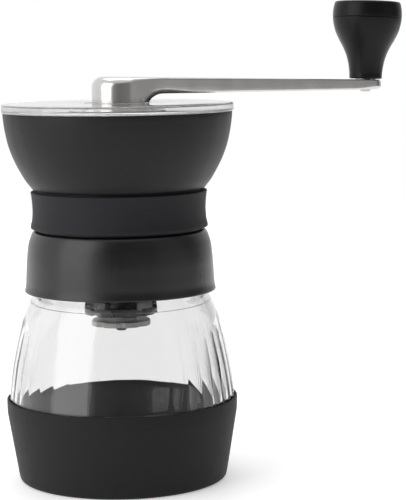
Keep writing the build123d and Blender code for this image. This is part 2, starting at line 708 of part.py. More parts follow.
def make_crank_arm():
    """Cast steel crank: socketed hub, gooseneck and a tapered arm that slopes to the knob."""
    start = HUB_OFFSET - HUB_RADIUS - 1
    end = CRANK_RADIUS + ARM_END_RADIUS + 1
    throat = HUB_RADIUS + GOOSENECK_RADIUS
    bend = GOOSENECK_RADIUS * (1 - cos(radians(45)))
    outline = crank_outline(HUB_BOTTOM - 1, HUB_TOP - HUB_BOTTOM + 3)
    with BuildPart() as hub:
        with BuildSketch(Plane.XZ.move(Location((HUB_OFFSET, 0, 0)))):
            with BuildLine():
                Polyline(
                    (0, ARM_UNDERSIDE + 1),
                    (0, HUB_BOTTOM),
                    (HUB_RADIUS, HUB_BOTTOM),
                    (HUB_RADIUS, ARM_UNDERSIDE - GOOSENECK_RADIUS),
                )
                ThreePointArc(
                    (HUB_RADIUS, ARM_UNDERSIDE - GOOSENECK_RADIUS),
                    (HUB_RADIUS + bend, ARM_UNDERSIDE - bend),
                    (throat, ARM_UNDERSIDE),
                )
                Polyline((throat, ARM_UNDERSIDE), (throat, ARM_UNDERSIDE + 1), (0, ARM_UNDERSIDE + 1))
            make_face()
        revolve(axis=Axis((HUB_OFFSET, 0, 0), (0, 0, 1)))
        add(outline, mode=Mode.INTERSECT)
    with BuildPart() as crank_arm:
        with BuildSketch(Plane.XZ):
            with BuildLine():
                Polyline(
                    (start, ARM_UNDERSIDE),
                    (HUB_OFFSET + throat, ARM_UNDERSIDE),
                    (end, ARM_UNDERSIDE_END),
                    (end, HUB_TOP - end * tan(radians(ARM_SLOPE))),
                    (start, HUB_TOP - start * tan(radians(ARM_SLOPE))),
                    close=True,
                )
            make_face()
        extrude(amount=HUB_RADIUS + 2, both=True)
        add(outline, mode=Mode.INTERSECT)
        top_face = crank_arm.faces().sort_by(Axis.Z)[-1]
        fillet(top_face.edges(), ARM_ROUNDING)
        add(hub.part)
        with BuildSketch(Plane.XY.offset(HUB_BOTTOM)):
            RegularPolygon(SHAFT_HEX / 2 + RUNNING_GAP, 6, major_radius=False)
        extrude(amount=SHAFT_TOP - HUB_BOTTOM, mode=Mode.SUBTRACT)
        with BuildSketch(KNOB_PLANE.offset(-8)):
            Circle(PIN_SHANK_RADIUS)
        extrude(amount=12, mode=Mode.SUBTRACT)
    crank_arm.part.label = "crank_arm"
    export_step(crank_arm.part, "parts/crank_arm.step")


def make_knob_pin():
    """Shouldered pin riveted through the end of the arm, on which the knob turns."""
    with BuildPart() as knob_pin:
        with BuildSketch(KNOB_PROFILE):
            with BuildLine():
                Polyline(
                    (0, -RIVET_TOP - 1.0),
                    (1.5, -RIVET_TOP - 1.0),
                    (2.6, -RIVET_TOP - 0.4),
                    (2.6, -RIVET_TOP),
                    (PIN_SHANK_RADIUS - 0.01, -RIVET_TOP),
                    (PIN_SHANK_RADIUS - 0.01, 0.08),
                    (4.6, 0.08),
                    (4.6, KNOB_GAP + 0.5),
                    (PIN_RADIUS, KNOB_GAP + 0.5),
                    (PIN_RADIUS, PIN_CLIP),
                    (PIN_RADIUS - 0.6, PIN_CLIP),
                    (PIN_RADIUS - 0.6, PIN_CLIP + 0.9),
                    (PIN_RADIUS, PIN_CLIP + 0.9),
                    (PIN_RADIUS, PIN_TOP),
                    (0, PIN_TOP),
                    close=True,
                )
            make_face()
        revolve(axis=KNOB_AXIS)
    knob_pin.part.label = "knob_pin"
    export_step(knob_pin.part, "parts/knob_pin.step")


def make_knob_clip():
    """Open ring clip that keeps the knob on its pin, under the cap."""
    with BuildPart() as knob_clip:
        with BuildSketch(KNOB_PLANE.offset(PIN_CLIP + 0.05)):
            Circle(5.5)
            Circle(PIN_RADIUS - 0.6, mode=Mode.SUBTRACT)
            with Locations((3.6, 0)):
                Rectangle(4.2, 3.6, mode=Mode.SUBTRACT)
        extrude(amount=0.8)
    knob_clip.part.label = "knob_clip"
    export_step(knob_clip.part, "parts/knob_clip.step")


def make_knob_body():
    """Trumpet-shaped knob that turns on the pin, recessed for the clip and the cap."""
    with BuildPart() as knob_body:
        with BuildSketch(KNOB_PROFILE):
            with BuildLine():
                Polyline((0, KNOB_GAP), (KNOB_NECK_RADIUS - 0.6, KNOB_GAP), (KNOB_NECK_RADIUS, KNOB_GAP + 0.6))
                flare = Spline(
                    (KNOB_NECK_RADIUS, KNOB_GAP + 0.6),
                    (8.2, 8.5),
                    (11.2, 15.6),
                    (14.35, 22.4),
                    (KNOB_RADIUS, KNOB_SEAM),
                    tangents=((0, 1), (0, 1)),
                )
                Polyline(
                    flare @ 1,
                    (CAP_RECESS_RADIUS, KNOB_SEAM),
                    (CAP_RECESS_RADIUS, CAP_RECESS_FLOOR),
                    (0, CAP_RECESS_FLOOR),
                    (0, KNOB_GAP),
                )
            make_face()
        revolve(axis=KNOB_AXIS)
        with BuildSketch(KNOB_PLANE.offset(KNOB_GAP)):
            Circle(PIN_RADIUS + RUNNING_GAP)
        extrude(amount=CAP_RECESS_FLOOR - KNOB_GAP, mode=Mode.SUBTRACT)
        with BuildSketch(KNOB_PLANE.offset(KNOB_GAP)):
            Circle(5.0)
        extrude(amount=0.8, mode=Mode.SUBTRACT)
    knob_body.part.label = "knob_body"
    export_step(knob_body.part, "parts/knob_body.step")


def make_knob_cap():
    """Domed cap pressed into the knob's recess."""
    with BuildPart() as knob_cap:
        with BuildSketch(KNOB_PROFILE):
            with BuildLine():
                side = Spline((KNOB_RADIUS, KNOB_SEAM), (14.9, 31.4), (14.5, 33.0), tangents=((0, 1), (-0.3, 1)))
                rim = ThreePointArc(side @ 1, (14.0, 33.8), (CAP_FLAT_RADIUS, KNOB_HEIGHT - CAP_CROWN))
                dome = ThreePointArc(rim @ 1, (CAP_FLAT_RADIUS / 2, KNOB_HEIGHT - CAP_CROWN / 4), (1, KNOB_HEIGHT))
                Polyline(
                    dome @ 1,
                    (0, KNOB_HEIGHT),
                    (0, KNOB_SEAM),
                    (7.6, KNOB_SEAM),
                    (7.6, KNOB_SEAM - 3.0),
                    (CAP_RECESS_RADIUS, KNOB_SEAM - 3.0),
                    (CAP_RECESS_RADIUS, KNOB_SEAM),
                    (KNOB_RADIUS, KNOB_SEAM),
                )
            make_face()
        revolve(axis=KNOB_AXIS)
    knob_cap.part.label = "knob_cap"
    export_step(knob_cap.part, "parts/knob_cap.step")


make_glass_jar()
make_base_sleeve()
make_jar_gasket()
make_screw_collar()
make_collar_screws()
make_hopper()
make_grip_band()
make_outer_burr()
make_burr_retainer()
make_bushes()
make_main_shaft()
make_shaft_clip()
make_shaft_washers()
make_burr_spring()
make_inner_burr()
make_burr_carrier()
make_click_ring()
make_adjusting_dial()
make_dial_nut()
make_lid()
make_crank_arm()
make_knob_pin()
make_knob_clip()
make_knob_body()
make_knob_cap()
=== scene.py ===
import json
from math import acos, asin, ceil, cos, hypot, pi, radians, sin, sqrt, tan

import bmesh
import bpy
import numpy as np
from mathutils import Matrix, Vector


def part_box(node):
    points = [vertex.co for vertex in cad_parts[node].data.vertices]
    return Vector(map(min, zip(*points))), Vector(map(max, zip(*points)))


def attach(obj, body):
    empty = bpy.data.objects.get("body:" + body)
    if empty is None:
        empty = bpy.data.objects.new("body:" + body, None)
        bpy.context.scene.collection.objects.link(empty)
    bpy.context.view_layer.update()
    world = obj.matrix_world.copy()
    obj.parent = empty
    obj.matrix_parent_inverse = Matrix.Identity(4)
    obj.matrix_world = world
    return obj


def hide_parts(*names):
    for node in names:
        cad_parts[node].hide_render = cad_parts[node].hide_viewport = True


# Looks for the hand crank coffee grinder. The pieces are drawn in millimetres, which MM makes metres.
# Materials, floor, lights and camera are in metres.

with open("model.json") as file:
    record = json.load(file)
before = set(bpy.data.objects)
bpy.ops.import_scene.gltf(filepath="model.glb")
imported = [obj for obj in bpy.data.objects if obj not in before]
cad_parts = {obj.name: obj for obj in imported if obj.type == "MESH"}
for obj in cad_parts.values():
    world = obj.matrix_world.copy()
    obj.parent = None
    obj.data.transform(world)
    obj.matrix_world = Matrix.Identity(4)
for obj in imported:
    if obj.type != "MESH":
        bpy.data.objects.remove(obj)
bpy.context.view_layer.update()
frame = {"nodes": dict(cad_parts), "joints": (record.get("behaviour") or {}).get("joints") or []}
MM = 0.001
SEGMENTS = 240
INSIDE_CAD = 0.03
WELDED = 0.02


def hexagon(radius):
    """Corners of a hexagon with one corner on X."""
    return [(radius * cos(radians(60 * k)), radius * sin(radians(60 * k))) for k in range(6)]


def extent(node):
    """Radius, bottom and top of a round CAD node, in millimetres."""
    low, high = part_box(node)
    return high.x / MM, low.z / MM, high.z / MM


# ---------------------------------------------------------------- profiles and meshes


def rounded(corners, steps=5):
    """Profile through (r, z) or (r, z, rounding) corners, with an arc at each rounded one."""
    points = []
    for index, corner in enumerate(corners):
        here = np.array(corner[:2], float)
        if len(corner) < 3:
            points.append(tuple(here))
            continue
        back = np.array(corners[index - 1][:2], float) - here
        ahead = np.array(corners[(index + 1) % len(corners)][:2], float) - here
        back_length = np.linalg.norm(back)
        ahead_length = np.linalg.norm(ahead)
        back /= back_length
        ahead /= ahead_length
        half = acos(max(-1.0, min(1.0, float(back @ ahead)))) / 2
        cut = min(corner[2] / tan(half), 0.49 * back_length, 0.49 * ahead_length)
        radius = cut * tan(half)
        middle = back + ahead
        centre = here + middle / np.linalg.norm(middle) * radius / sin(half)
        first = here + back * cut - centre
        last = here + ahead * cut - centre
        turn = pi - 2 * half
        for step in range(steps + 1):
            part = step / steps
            arm = (sin((1 - part) * turn) * first + sin(part * turn) * last) / sin(turn)
            points.append(tuple(centre + arm))
    return points


def curve(points, steps=8):
    """Smooth curve through the points, ends included."""
    pts = [np.array(p, float) for p in points]
    pts = [2 * pts[0] - pts[1]] + pts + [2 * pts[-1] - pts[-2]]
    result = []
    for a, b, c, d in zip(pts, pts[1:], pts[2:], pts[3:]):
        for step in range(steps):
            t = step / steps
            result.append(
                tuple(
                    0.5
                    * (
                        2 * b
                        + (c - a) * t
                        + (2 * a - 5 * b + 4 * c - d) * t**2
                        + (3 * b - a - 3 * c + d) * t**3
                    )
                )
            )
    return result + [tuple(pts[-2])]


def ladder(start, end, step):
    """Evenly spaced points on a straight line, ends included."""
    count = max(1, ceil(hypot(end[0] - start[0], end[1] - start[1]) / step))
    return [
        (start[0] + (end[0] - start[0]) * k / count, start[1] + (end[1] - start[1]) * k / count)
        for k in range(count + 1)
    ]


def finish_mesh(name, bm, sharp=38):
    """Welds, turns normals outwards, smooths, and marks the real edges sharp."""
    bmesh.ops.remove_doubles(bm, verts=bm.verts, dist=1e-7)
    bmesh.ops.dissolve_degenerate(bm, dist=1e-8, edges=bm.edges)
    bmesh.ops.recalc_face_normals(bm, faces=bm.faces)
    mesh = bpy.data.meshes.new(name)
    bm.to_mesh(mesh)
    bm.free()
    mesh.polygons.foreach_set("use_smooth", [True] * len(mesh.polygons))
    mesh.set_sharp_from_angle(angle=radians(sharp))
    piece = bpy.data.objects.new(name, mesh)
    bpy.context.scene.collection.objects.link(piece)
    return piece


def add_grid(bm, grid, wrap_rows=True):
    """Quads over a grid of points, closed along each row, and across the rows where asked."""
    rows, columns, _ = grid.shape
    verts = [[bm.verts.new(point) for point in row] for row in grid]
    last = rows if wrap_rows else rows - 1
    for i in range(last):
        low = verts[i]
        high = verts[(i + 1) % rows]
        for j in range(columns):
            k = (j + 1) % columns
            bm.faces.new((low[j], low[k], high[k], high[j]))
    return verts


def lathe_into(bm, profile, segments=SEGMENTS, shape=None):
    """Turns a closed profile of (r, z) about Z. shape(angle, r, z) may move the points."""
    outline = np.array([(max(r, 0.0), z) for r, z in profile])
    angles = np.arange(segments) * 2 * pi / segments
    angle, r = np.meshgrid(angles, outline[:, 0])
    z = np.repeat(outline[:, 1:2], segments, axis=1)
    if shape:
        r, z = shape(angle, r, z)
    grid = np.stack([r * np.cos(angle), r * np.sin(angle), z], axis=2) * MM
    add_grid(bm, grid)


def lathe(name, profile, segments=SEGMENTS, shape=None, sharp=38):
    """A piece of its own from one turned profile."""
    bm = bmesh.new()
    lathe_into(bm, profile, segments, shape)
    return finish_mesh(name, bm, sharp)


def prism_into(bm, outline, low, high, rounding=0.3):
    """A closed (x, y) outline raised from low to high, its two ends slightly rounded."""
    points = np.array(outline, float)
    centre = points.mean(axis=0)
    rings = []
    for inset, z in ((rounding, low), (0, low + rounding), (0, high - rounding), (rounding, high)):
        direction = points - centre
        length = np.linalg.norm(direction, axis=1, keepdims=True)
        ring = centre + direction * (1 - inset / length)
        rings.append(np.column_stack([ring, np.full(len(ring), z)]))
    grid = np.array(rings) * MM
    verts = add_grid(bm, grid, wrap_rows=False)
    bm.faces.new(list(reversed(verts[0])))
    bm.faces.new(verts[-1])


def stand_for(piece, body, *nodes, finish, material):
    """Dresses a piece, makes it ride its body and stand for its CAD nodes."""
    piece.data.materials.clear()
    piece.data.materials.append(material)
    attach(piece, body)
    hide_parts(*nodes)


# ---------------------------------------------------------------- materials


class Shader:
    """A Principled material with helpers for the procedural detail of its surface."""

    def __init__(self, name, **sockets):
        self.material = bpy.data.materials.new(name)
        self.material.use_nodes = True
        self.tree = self.material.node_tree
        self.surface = self.tree.nodes["Principled BSDF"]
        for key, value in sockets.items():
            self.surface.inputs[key.replace("_", " ")].default_value = value

    def node(self, kind, **settings):
        made = self.tree.nodes.new(kind)
        for key, value in settings.items():
            if hasattr(made, key):
                setattr(made, key, value)
            else:
                made.inputs[key.replace("_", " ")].default_value = value
        return made

    def link(self, source, target):
        self.tree.links.new(source, target)

    def noise(self, scale, detail=3.0, stretch=(1, 1, 1), roughness=0.5):
        """Noise in object space; scale is in features per metre."""
        coords = self.node("ShaderNodeTexCoord")
        mapping = self.node("ShaderNodeMapping")
        mapping.inputs["Scale"].default_value = stretch
        made = self.node("ShaderNodeTexNoise", Scale=scale, Detail=detail, Roughness=roughness)
        self.link(coords.outputs["Object"], mapping.inputs["Vector"])
        self.link(mapping.outputs["Vector"], made.inputs["Vector"])
        return made.outputs["Fac"]

    def ranged(self, source, low, high, start=0.3, end=0.7):
        """Maps the middle of a 0 to 1 source onto low to high."""
        made = self.node("ShaderNodeMapRange")
        made.inputs["From Min"].default_value = start
        made.inputs["From Max"].default_value = end
        made.inputs["To Min"].default_value = low
        made.inputs["To Max"].default_value = high
        self.link(source, made.inputs["Value"])
        return made.outputs["Result"]

    def vary(self, socket, source, low, high):
        """Drives a value of the surface between low and high."""
        self.link(self.ranged(source, low, high), self.surface.inputs[socket])

    def tint(self, source, dark, light):
        """Drives the surface's colour between dark and light."""
        mix = self.node("ShaderNodeMix", data_type="RGBA")
        self.link(self.ranged(source, 0.0, 1.0), mix.inputs["Factor"])
        for socket in mix.inputs:
            if socket.type == "RGBA":
                socket.default_value = (*(dark if socket.name == "A" else light), 1)
        self.link([o for o in mix.outputs if o.type == "RGBA"][0], self.surface.inputs["Base Color"])

    def bump(self, *layers):
        """Layers of (height source, depth in metres), summed into one bump."""
        normal = None
        for source, depth in layers:
            made = self.node("ShaderNodeBump")
            made.inputs["Strength"].default_value = 1.0
            made.inputs["Distance"].default_value = depth
            self.link(source, made.inputs["Height"])
            if normal:
                self.link(normal, made.inputs["Normal"])
            normal = made.outputs["Normal"]
        self.link(normal, self.surface.inputs["Normal"])


def moulded_black(name, shade, rough, grain, lustre=0.5):
    """Black moulding: fine spark texture, faint flow marks and handling marks."""
    made = Shader(name, Specular_IOR_Level=lustre)
    flow = made.noise(28, 4, (1, 1, 0.35))
    spark = made.noise(5200, 2)
    marks = made.noise(90, 6, (1, 1, 0.2), 0.65)
    made.tint(flow, [c * 0.86 for c in shade], [c * 1.16 for c in shade])
    made.vary("Roughness", marks, rough - 0.05, rough + 0.06)
    made.bump((spark, grain), (flow, 0.00002))
    return made.material


def silicone_black(name, shade):
    """Black silicone: dull, a little dusty, with a soft skin."""
    made = Shader(name, Specular_IOR_Level=0.2, Sheen_Weight=0.03, Sheen_Roughness=0.5)
    dust = made.noise(340, 6, (1, 1, 1), 0.7)
    skin = made.noise(3600, 3)
    made.tint(dust, [c * 0.85 for c in shade], [c * 1.25 for c in shade])
    made.vary("Roughness", dust, 0.56, 0.7)
    made.bump((skin, 0.00003), (dust, 0.00001))
    return made.material


def clear_glass():
    """Pressed glass: colourless, with the slow waves of the mould. Its grey base colour is painted shade
    that dims all that shows through it.
    """
    made = Shader("pressed_glass", Transmission_Weight=1.0, IOR=1.5)
    # painted shade: a grey base colour darkens the clear glass
    made.surface.inputs["Base Color"].default_value = (0.845, 0.848, 0.845, 1)
    wave = made.noise(60, 2, (1, 1, 0.4))
    marks = made.noise(420, 5)
    made.vary("Roughness", marks, 0.0, 0.03)
    made.bump((wave, 0.00012))
    return made.material


def clear_plastic():
    """Clear moulded lid, with hair-fine wiping marks."""
    made = Shader("clear_lid", Transmission_Weight=0.88, IOR=1.49)
    made.surface.inputs["Base Color"].default_value = (0.93, 0.93, 0.93, 1)
    wave = made.noise(50, 2)
    wipes = made.noise(700, 5, (1, 0.08, 1))
    made.vary("Roughness", wipes, 0.03, 0.1)
    made.bump((wave, 0.000015))
    return made.material


def polished_steel():
    """Buffed stainless casting: long faint polishing lines along the arm."""
    made = Shader("polished_steel", Metallic=1.0, Anisotropic=0.25)
    lines = made.noise(900, 4, (0.03, 1, 1), 0.6)
    cloud = made.noise(70, 3)
    made.tint(cloud, (0.56, 0.545, 0.535), (0.65, 0.635, 0.625))
    made.vary("Roughness", lines, 0.12, 0.22)
    made.bump((lines, 0.0000035), (cloud, 0.00003))
    return made.material


def turned_steel():
    """Plain machined steel of the shaft, pin and small parts."""
    made = Shader("turned_steel", Metallic=1.0)
    lines = made.noise(1500, 3, (0.1, 0.1, 1))
    made.tint(lines, (0.45, 0.45, 0.45), (0.6, 0.6, 0.59))
    made.vary("Roughness", lines, 0.22, 0.36)
    made.bump((lines, 0.000006))
    return made.material


def fired_ceramic():
    """Dense white ceramic of the burrs, dusted with grounds."""
    made = Shader("fired_ceramic", Specular_IOR_Level=0.5, Subsurface_Weight=0.05)
    specks = made.noise(1300, 4)
    made.tint(specks, (0.7, 0.66, 0.58), (0.86, 0.84, 0.8))
    made.vary("Roughness", specks, 0.35, 0.55)
    made.bump((specks, 0.00002))
    return made.material


def grey_plastic():
    """Satin grey moulding of the adjusting dial and bushes. Its light grey is partly the moulding's own
    colour and partly painted light, raised to make up for the shade the dial sits in.
    """
    made = Shader("grey_moulding")
    flow = made.noise(300, 4)
    spark = made.noise(4200, 2)
    # partly painted light: the tint is lifted above the moulding's own grey
    made.tint(flow, (0.62, 0.61, 0.605), (0.72, 0.71, 0.705))
    made.vary("Roughness", flow, 0.34, 0.46)
    made.bump((spark, 0.00001))
    return made.material


HOPPER_BLACK = moulded_black("hopper_moulding", (0.0093, 0.0081, 0.0082), 0.44, 0.000012, 0.24)
COLLAR_BLACK = moulded_black("collar_moulding", (0.0034, 0.0034, 0.004), 0.3, 0.000008, 0.54)
KNOB_BLACK = moulded_black("knob_moulding", (0.0036, 0.0034, 0.0037), 0.3, 0.000006, 0.2)
INNER_BLACK = moulded_black("inner_moulding", (0.012, 0.011, 0.011), 0.3, 0.000008)
SILICONE = silicone_black("black_silicone", (0.0102, 0.0099, 0.0109))
# The band gets a lighter, bluer copy of the black silicone.
BAND_SILICONE = silicone_black("lighter_band_silicone", (0.0135, 0.0135, 0.0155))
GLASS = clear_glass()
CLEAR = clear_plastic()
STEEL = polished_steel()
TURNED = turned_steel()
CERAMIC = fired_ceramic()
GREY = grey_plastic()


# ---------------------------------------------------------------- jar

THREAD_PITCH = 4.0
THREAD_TURNS = 1.25
THREAD_START = 84.0
THREAD_HEIGHT = 1.4
THREAD_BASE = 1.8
THREAD_CREST = 0.9
THREAD_FADE = 0.05
FLUTES = 13
FLUTE_SPACING = radians(9)
FLUTE_GROUPS_AT = (radians(-31), radians(149))
FLUTE_TOP = 62.8
FLUTE_FULL = 36.0
FLUTE_FOOT = 9.0
FLUTE_ARCH = 4.0
FLUTE_RUN_OUT = 8.0
FLUTE_DEPTHS = (0.55, 0.16)
FLUTE_DEPTH_AT_TOP = 0.35


def thread_height(angle, z, start):
    """Height of the helical ridge over the wall, 0 away from it and at its faded ends."""
    turned = np.mod(angle, 2 * pi) / (2 * pi)
    above = z - start - THREAD_PITCH * turned
    turn = np.clip(np.round(above / THREAD_PITCH), 0, ceil(THREAD_TURNS))
    along = turned + turn
    off = np.abs(above - turn * THREAD_PITCH)
    ridge = np.clip((THREAD_BASE / 2 - off) / ((THREAD_BASE - THREAD_CREST) / 2), 0, 1)
    fade = np.clip(np.minimum(along, THREAD_TURNS - along) / THREAD_FADE, 0, 1)
    return THREAD_HEIGHT * ridge * fade


def flute_depth(angle, z):
    """Depth of the hollow flutes: arched at the top, deepening downwards."""
    drop = np.clip((FLUTE_TOP - z) / (FLUTE_TOP - FLUTE_FULL), 0, 1)
    arch = np.clip((FLUTE_TOP - z) / FLUTE_ARCH, 0, 1)
    foot = np.clip((z - FLUTE_FOOT) / FLUTE_RUN_OUT, 0, 1)
    half_width = FLUTE_SPACING / 2 * np.sqrt(1 - (1 - arch) ** 2)
    share = FLUTE_DEPTH_AT_TOP * arch + (1 - FLUTE_DEPTH_AT_TOP) * drop
    depth = np.zeros_like(z)
    for middle, deepest in zip(FLUTE_GROUPS_AT, FLUTE_DEPTHS):
        off = np.mod(angle - middle + pi, 2 * pi) - pi
        number = np.clip(np.round(off / FLUTE_SPACING), -(FLUTES // 2), FLUTES // 2)
        across = np.abs(off - number * FLUTE_SPACING) / np.maximum(half_width, 1e-4)
        hollow = np.clip(1 - across**2, 0, 1)
        depth += deepest * hollow * share * foot
    return depth


def jar_shape(angle, r, z):
    """Presses the flutes into the outside and raises the thread on the neck."""
    outer = (r > wall_radius(z)).astype(float)
    below = (z < FLUTE_TOP) & (z > FLUTE_FOOT)
    neck = (np.abs(r - NECK_RADIUS) < 0.01) & (z > THREAD_START - 2) & (z < THREAD_START + 9)
    r = r - np.where(below, flute_depth(angle, z), 0) * outer
    r = r + np.where(neck, thread_height(angle, z, THREAD_START), 0)
    return r, z


def wall_radius(z):
    """Radius within the jar's wall, which tells its outside from its inside."""
    heights = (6, 10, 33, 47, 60, 70, 78)
    return np.interp(z, heights, (39.0, 40.2, 44.1, 42.4, 39.7, 36.3, 32.3))


NECK_RADIUS = 33.6
NECK_INNER = 31.0
MOUTH = extent("glass_jar")[2]
JAR_RADIUS, JAR_BOTTOM, _ = extent("glass_jar")
WIDEST_Z = 33.0
OUTSIDE = [(JAR_RADIUS, WIDEST_Z), (43.75, 47.1), (41.0, 60.1), (37.7, 69.9), (35.0, 75.0)]
INSIDE = [
    (31.0, 76.3),
    (31.7, 73.9),
    (33.9, 70.0),
    (36.2, 64.0),
    (38.45, 55.0),
    (40.35, 46.8),
    (41.7, 40.0),
    (42.75, WIDEST_Z),
]

# A very low ridge runs round the inside of the shoulder, and shows through the glass as a thin line.
RIDGE_AT = 71.0
RIDGE_HEIGHT = 0.16
inner_wall = curve(INSIDE, 14)
below_ridge = next(k for k, point in enumerate(inner_wall) if point[1] < RIDGE_AT)
(r_over, z_over), (r_under, z_under) = inner_wall[below_ridge - 1], inner_wall[below_ridge]
ridge = [
    (r_over + (r_under - r_over) * share - height, z_over + (z_under - z_over) * share)
    for share, height in ((0.3, 0), (0.5, RIDGE_HEIGHT), (0.7, 0))
]
inner_wall[below_ridge:below_ridge] = ridge

jar_profile = rounded(
    [
        (0, JAR_BOTTOM + 1.2),
        (30.0, JAR_BOTTOM + 1.2, 4.0),
        (33.0, JAR_BOTTOM, 1.2),
        (39.6, JAR_BOTTOM, 3.5),
        *ladder((41.1, 6.6), (45.2, 30.0), 0.8),
        *curve(OUTSIDE, 28),
        (NECK_RADIUS, 78.4, 2.5),
        *ladder((NECK_RADIUS, 80.0), (NECK_RADIUS, MOUTH - 1.5), 0.22),
        (NECK_RADIUS, MOUTH, 1.0),
        (NECK_INNER, MOUTH, 1.0),
        (NECK_INNER, 77.5),
        *inner_wall,
        (38.8, 10.5, 6.0),
        (33.0, 6.9, 9.0),
        (0, 6.4),
    ]
)
jar = lathe("jar_glass", jar_profile, 936, jar_shape, sharp=60)
stand_for(jar, "jar", "glass_jar", finish="clear_glass", material=GLASS)

# ---------------------------------------------------------------- base sleeve, gasket, band

JAR_SOCKET = JAR_RADIUS + 0.03
SLEEVE_FLOOR = 2.45
SLEEVE_RADIUS, _, SLEEVE_TOP = extent("base_sleeve")
SLEEVE_RADIUS -= INSIDE_CAD
sleeve_profile = rounded(
    [
        (0, 0.5),
        (34.0, 0.5, 1.0),
        (35.0, 0.0, 0.5),
        (41.75, 0.0, 2.6),
        *ladder((42.35, 3.2), (46.2, 26.6), 3.0),
        *curve([(46.35, 27.6), (46.47, 30.0), (SLEEVE_RADIUS, 32.4)], 4),
        (SLEEVE_RADIUS, SLEEVE_TOP, 0.35),
        (JAR_SOCKET, SLEEVE_TOP, 0.3),
        (JAR_SOCKET, WIDEST_Z - 1.2),
        *ladder((45.25, 30.0), (41.15, 6.6), 3.0),
        (39.7, SLEEVE_FLOOR, 3.5),
        (0, SLEEVE_FLOOR),
    ]
)
sleeve = lathe("sleeve_silicone", sleeve_profile)
stand_for(sleeve, "jar", "base_sleeve", finish="black_silicone", material=SILICONE)

GASKET_BORE = 30.9
GASKET_RADIUS, GASKET_LOW, GASKET_HIGH = extent("jar_gasket")
gasket_profile = rounded(
    [
        (GASKET_BORE, GASKET_LOW, 0.4),
        (GASKET_RADIUS, GASKET_LOW, 0.4),
        (GASKET_RADIUS, GASKET_HIGH, 0.4),
        (GASKET_BORE, GASKET_HIGH, 0.4),
    ]
)
gasket = lathe("gasket_silicone", gasket_profile)
stand_for(gasket, "seal", "jar_gasket", finish="black_silicone", material=SILICONE)

WAIST_RADIUS = 33.0
BAND_BORE = WAIST_RADIUS + WELDED
BAND_RADIUS, BAND_LOW, BAND_HIGH = extent("grip_band")
band_profile = rounded(
    [
        (BAND_BORE, BAND_LOW, 0.3),
        (BAND_RADIUS, BAND_LOW, 0.35),
        (35.42, BAND_LOW + 1.0, 0.6),
        *curve([(35.3, BAND_LOW + 1.6), (34.85, 105.5), (34.66, 109.6), (34.85, 113.0), (35.12, 115.3)], 6),
        (35.38, BAND_HIGH, 0.35),
        (BAND_BORE, BAND_HIGH, 0.3),
    ]
)
band = lathe("band_silicone", band_profile)
stand_for(band, "head", "grip_band", finish="black_silicone", material=BAND_SILICONE)

# ---------------------------------------------------------------- screw collar

COLLAR_BORE = 35.5
DECK_BORE = 25.2
COLLAR_RADIUS, COLLAR_LOW, DECK_TOP = extent("screw_collar")
DECK_LOW = GASKET_HIGH


def collar_shape(angle, r, z):
    """Raises the collar's thread inwards, half a pitch from the jar's."""
    bore = (np.abs(r - COLLAR_BORE) < 0.01) & (z > COLLAR_LOW + 2) & (z < DECK_LOW - 3)
    ridge = thread_height(angle, z, THREAD_START - THREAD_PITCH / 2)
    return r - np.where(bore, ridge, 0), z


collar_profile = rounded(
    [
        (DECK_BORE, DECK_LOW, 0.3),
        (DECK_BORE, DECK_TOP, 0.3),
        *curve(
            [(33.2, DECK_TOP), (34.3, 100.55), (35.1, 99.6), (35.75, 98.0), (36.5, 95.6), (36.97, 92.5)], 6
        ),
        *curve([(37.3, 89.3), (37.68, 82.8), (37.9, 79.2), (COLLAR_RADIUS - INSIDE_CAD, 77.0)], 6),
        (COLLAR_RADIUS, COLLAR_LOW, 0.35),
        (COLLAR_BORE + 0.2, COLLAR_LOW, 0.5),
        *ladder((COLLAR_BORE, COLLAR_LOW + 1.5), (COLLAR_BORE, MOUTH), 0.24),
        (34.9, DECK_LOW, 0.3),
    ]
)
collar = lathe("collar_moulding", collar_profile, 360, collar_shape)
stand_for(collar, "head", "screw_collar", finish="satin_black_plastic", material=COLLAR_BLACK)

# ---------------------------------------------------------------- hopper with ribs and bearing tube

RIM_RADIUS, THROAT_LOW, RIM = extent("hopper")
BOWL_LOW = 117.3
THROAT_RADIUS = 24.4
BURR_SEAT = 22.2
BURR_LIP = 20.6
BURR_SEAT_TOP = 96.5
TUBE_RADIUS = 7.5
TUBE_BORE = 5.5
TUBE_LOW = 103.2
TUBE_HIGH = 138.0
RIB_THICKNESS = 3.4
BOWL_OUTSIDE = [(35.0, 118.1), (37.45, 121.4), (41.0, 127.9), (43.45, 134.2), (44.9, 140.6), (45.6, 145.6)]
BOWL_INSIDE = [(43.2, 145.6), (42.5, 140.5), (41.2, 134.8), (38.9, 128.9), (35.5, 122.6), (32.3, 118.4)]
RIB_ANGLES = (radians(90), radians(210), radians(330))

hopper_profile = rounded(
    [
        (BURR_SEAT, THROAT_LOW, 0.3),
        (THROAT_RADIUS, THROAT_LOW, 0.3),
        (THROAT_RADIUS, 103.0, 1.0),
        (30.9, 112.7, 1.0),
        (30.9, DECK_TOP + WELDED),
        (WAIST_RADIUS, DECK_TOP + WELDED),
        (WAIST_RADIUS, BOWL_LOW, 0.3),
        (34.35, BOWL_LOW, 0.5),
        *curve(BOWL_OUTSIDE, 8),
        (RIM_RADIUS, RIM, 0.45),
        (RIM_RADIUS - 2.3, RIM, 0.6),
        *curve(BOWL_INSIDE, 6),
        (BURR_LIP, 101.0, 2.0),
        (BURR_LIP, BURR_SEAT_TOP, 0.3),
        (BURR_SEAT, BURR_SEAT_TOP, 0.2),
    ]
)
tube_profile = rounded(
    [
        (TUBE_BORE, TUBE_LOW, 0.3),
        (TUBE_RADIUS, TUBE_LOW, 0.3),
        (TUBE_RADIUS, TUBE_HIGH, 0.6),
        (TUBE_BORE, TUBE_HIGH, 0.3),
    ]
)
rib_outline = rounded(
    [(6.4, 104.5), (24.0, 104.5), (31.5, 115.5), (33.4, 119.2, 0.5), (30.5, 120.5, 6.0), (6.4, 127.2)]
)


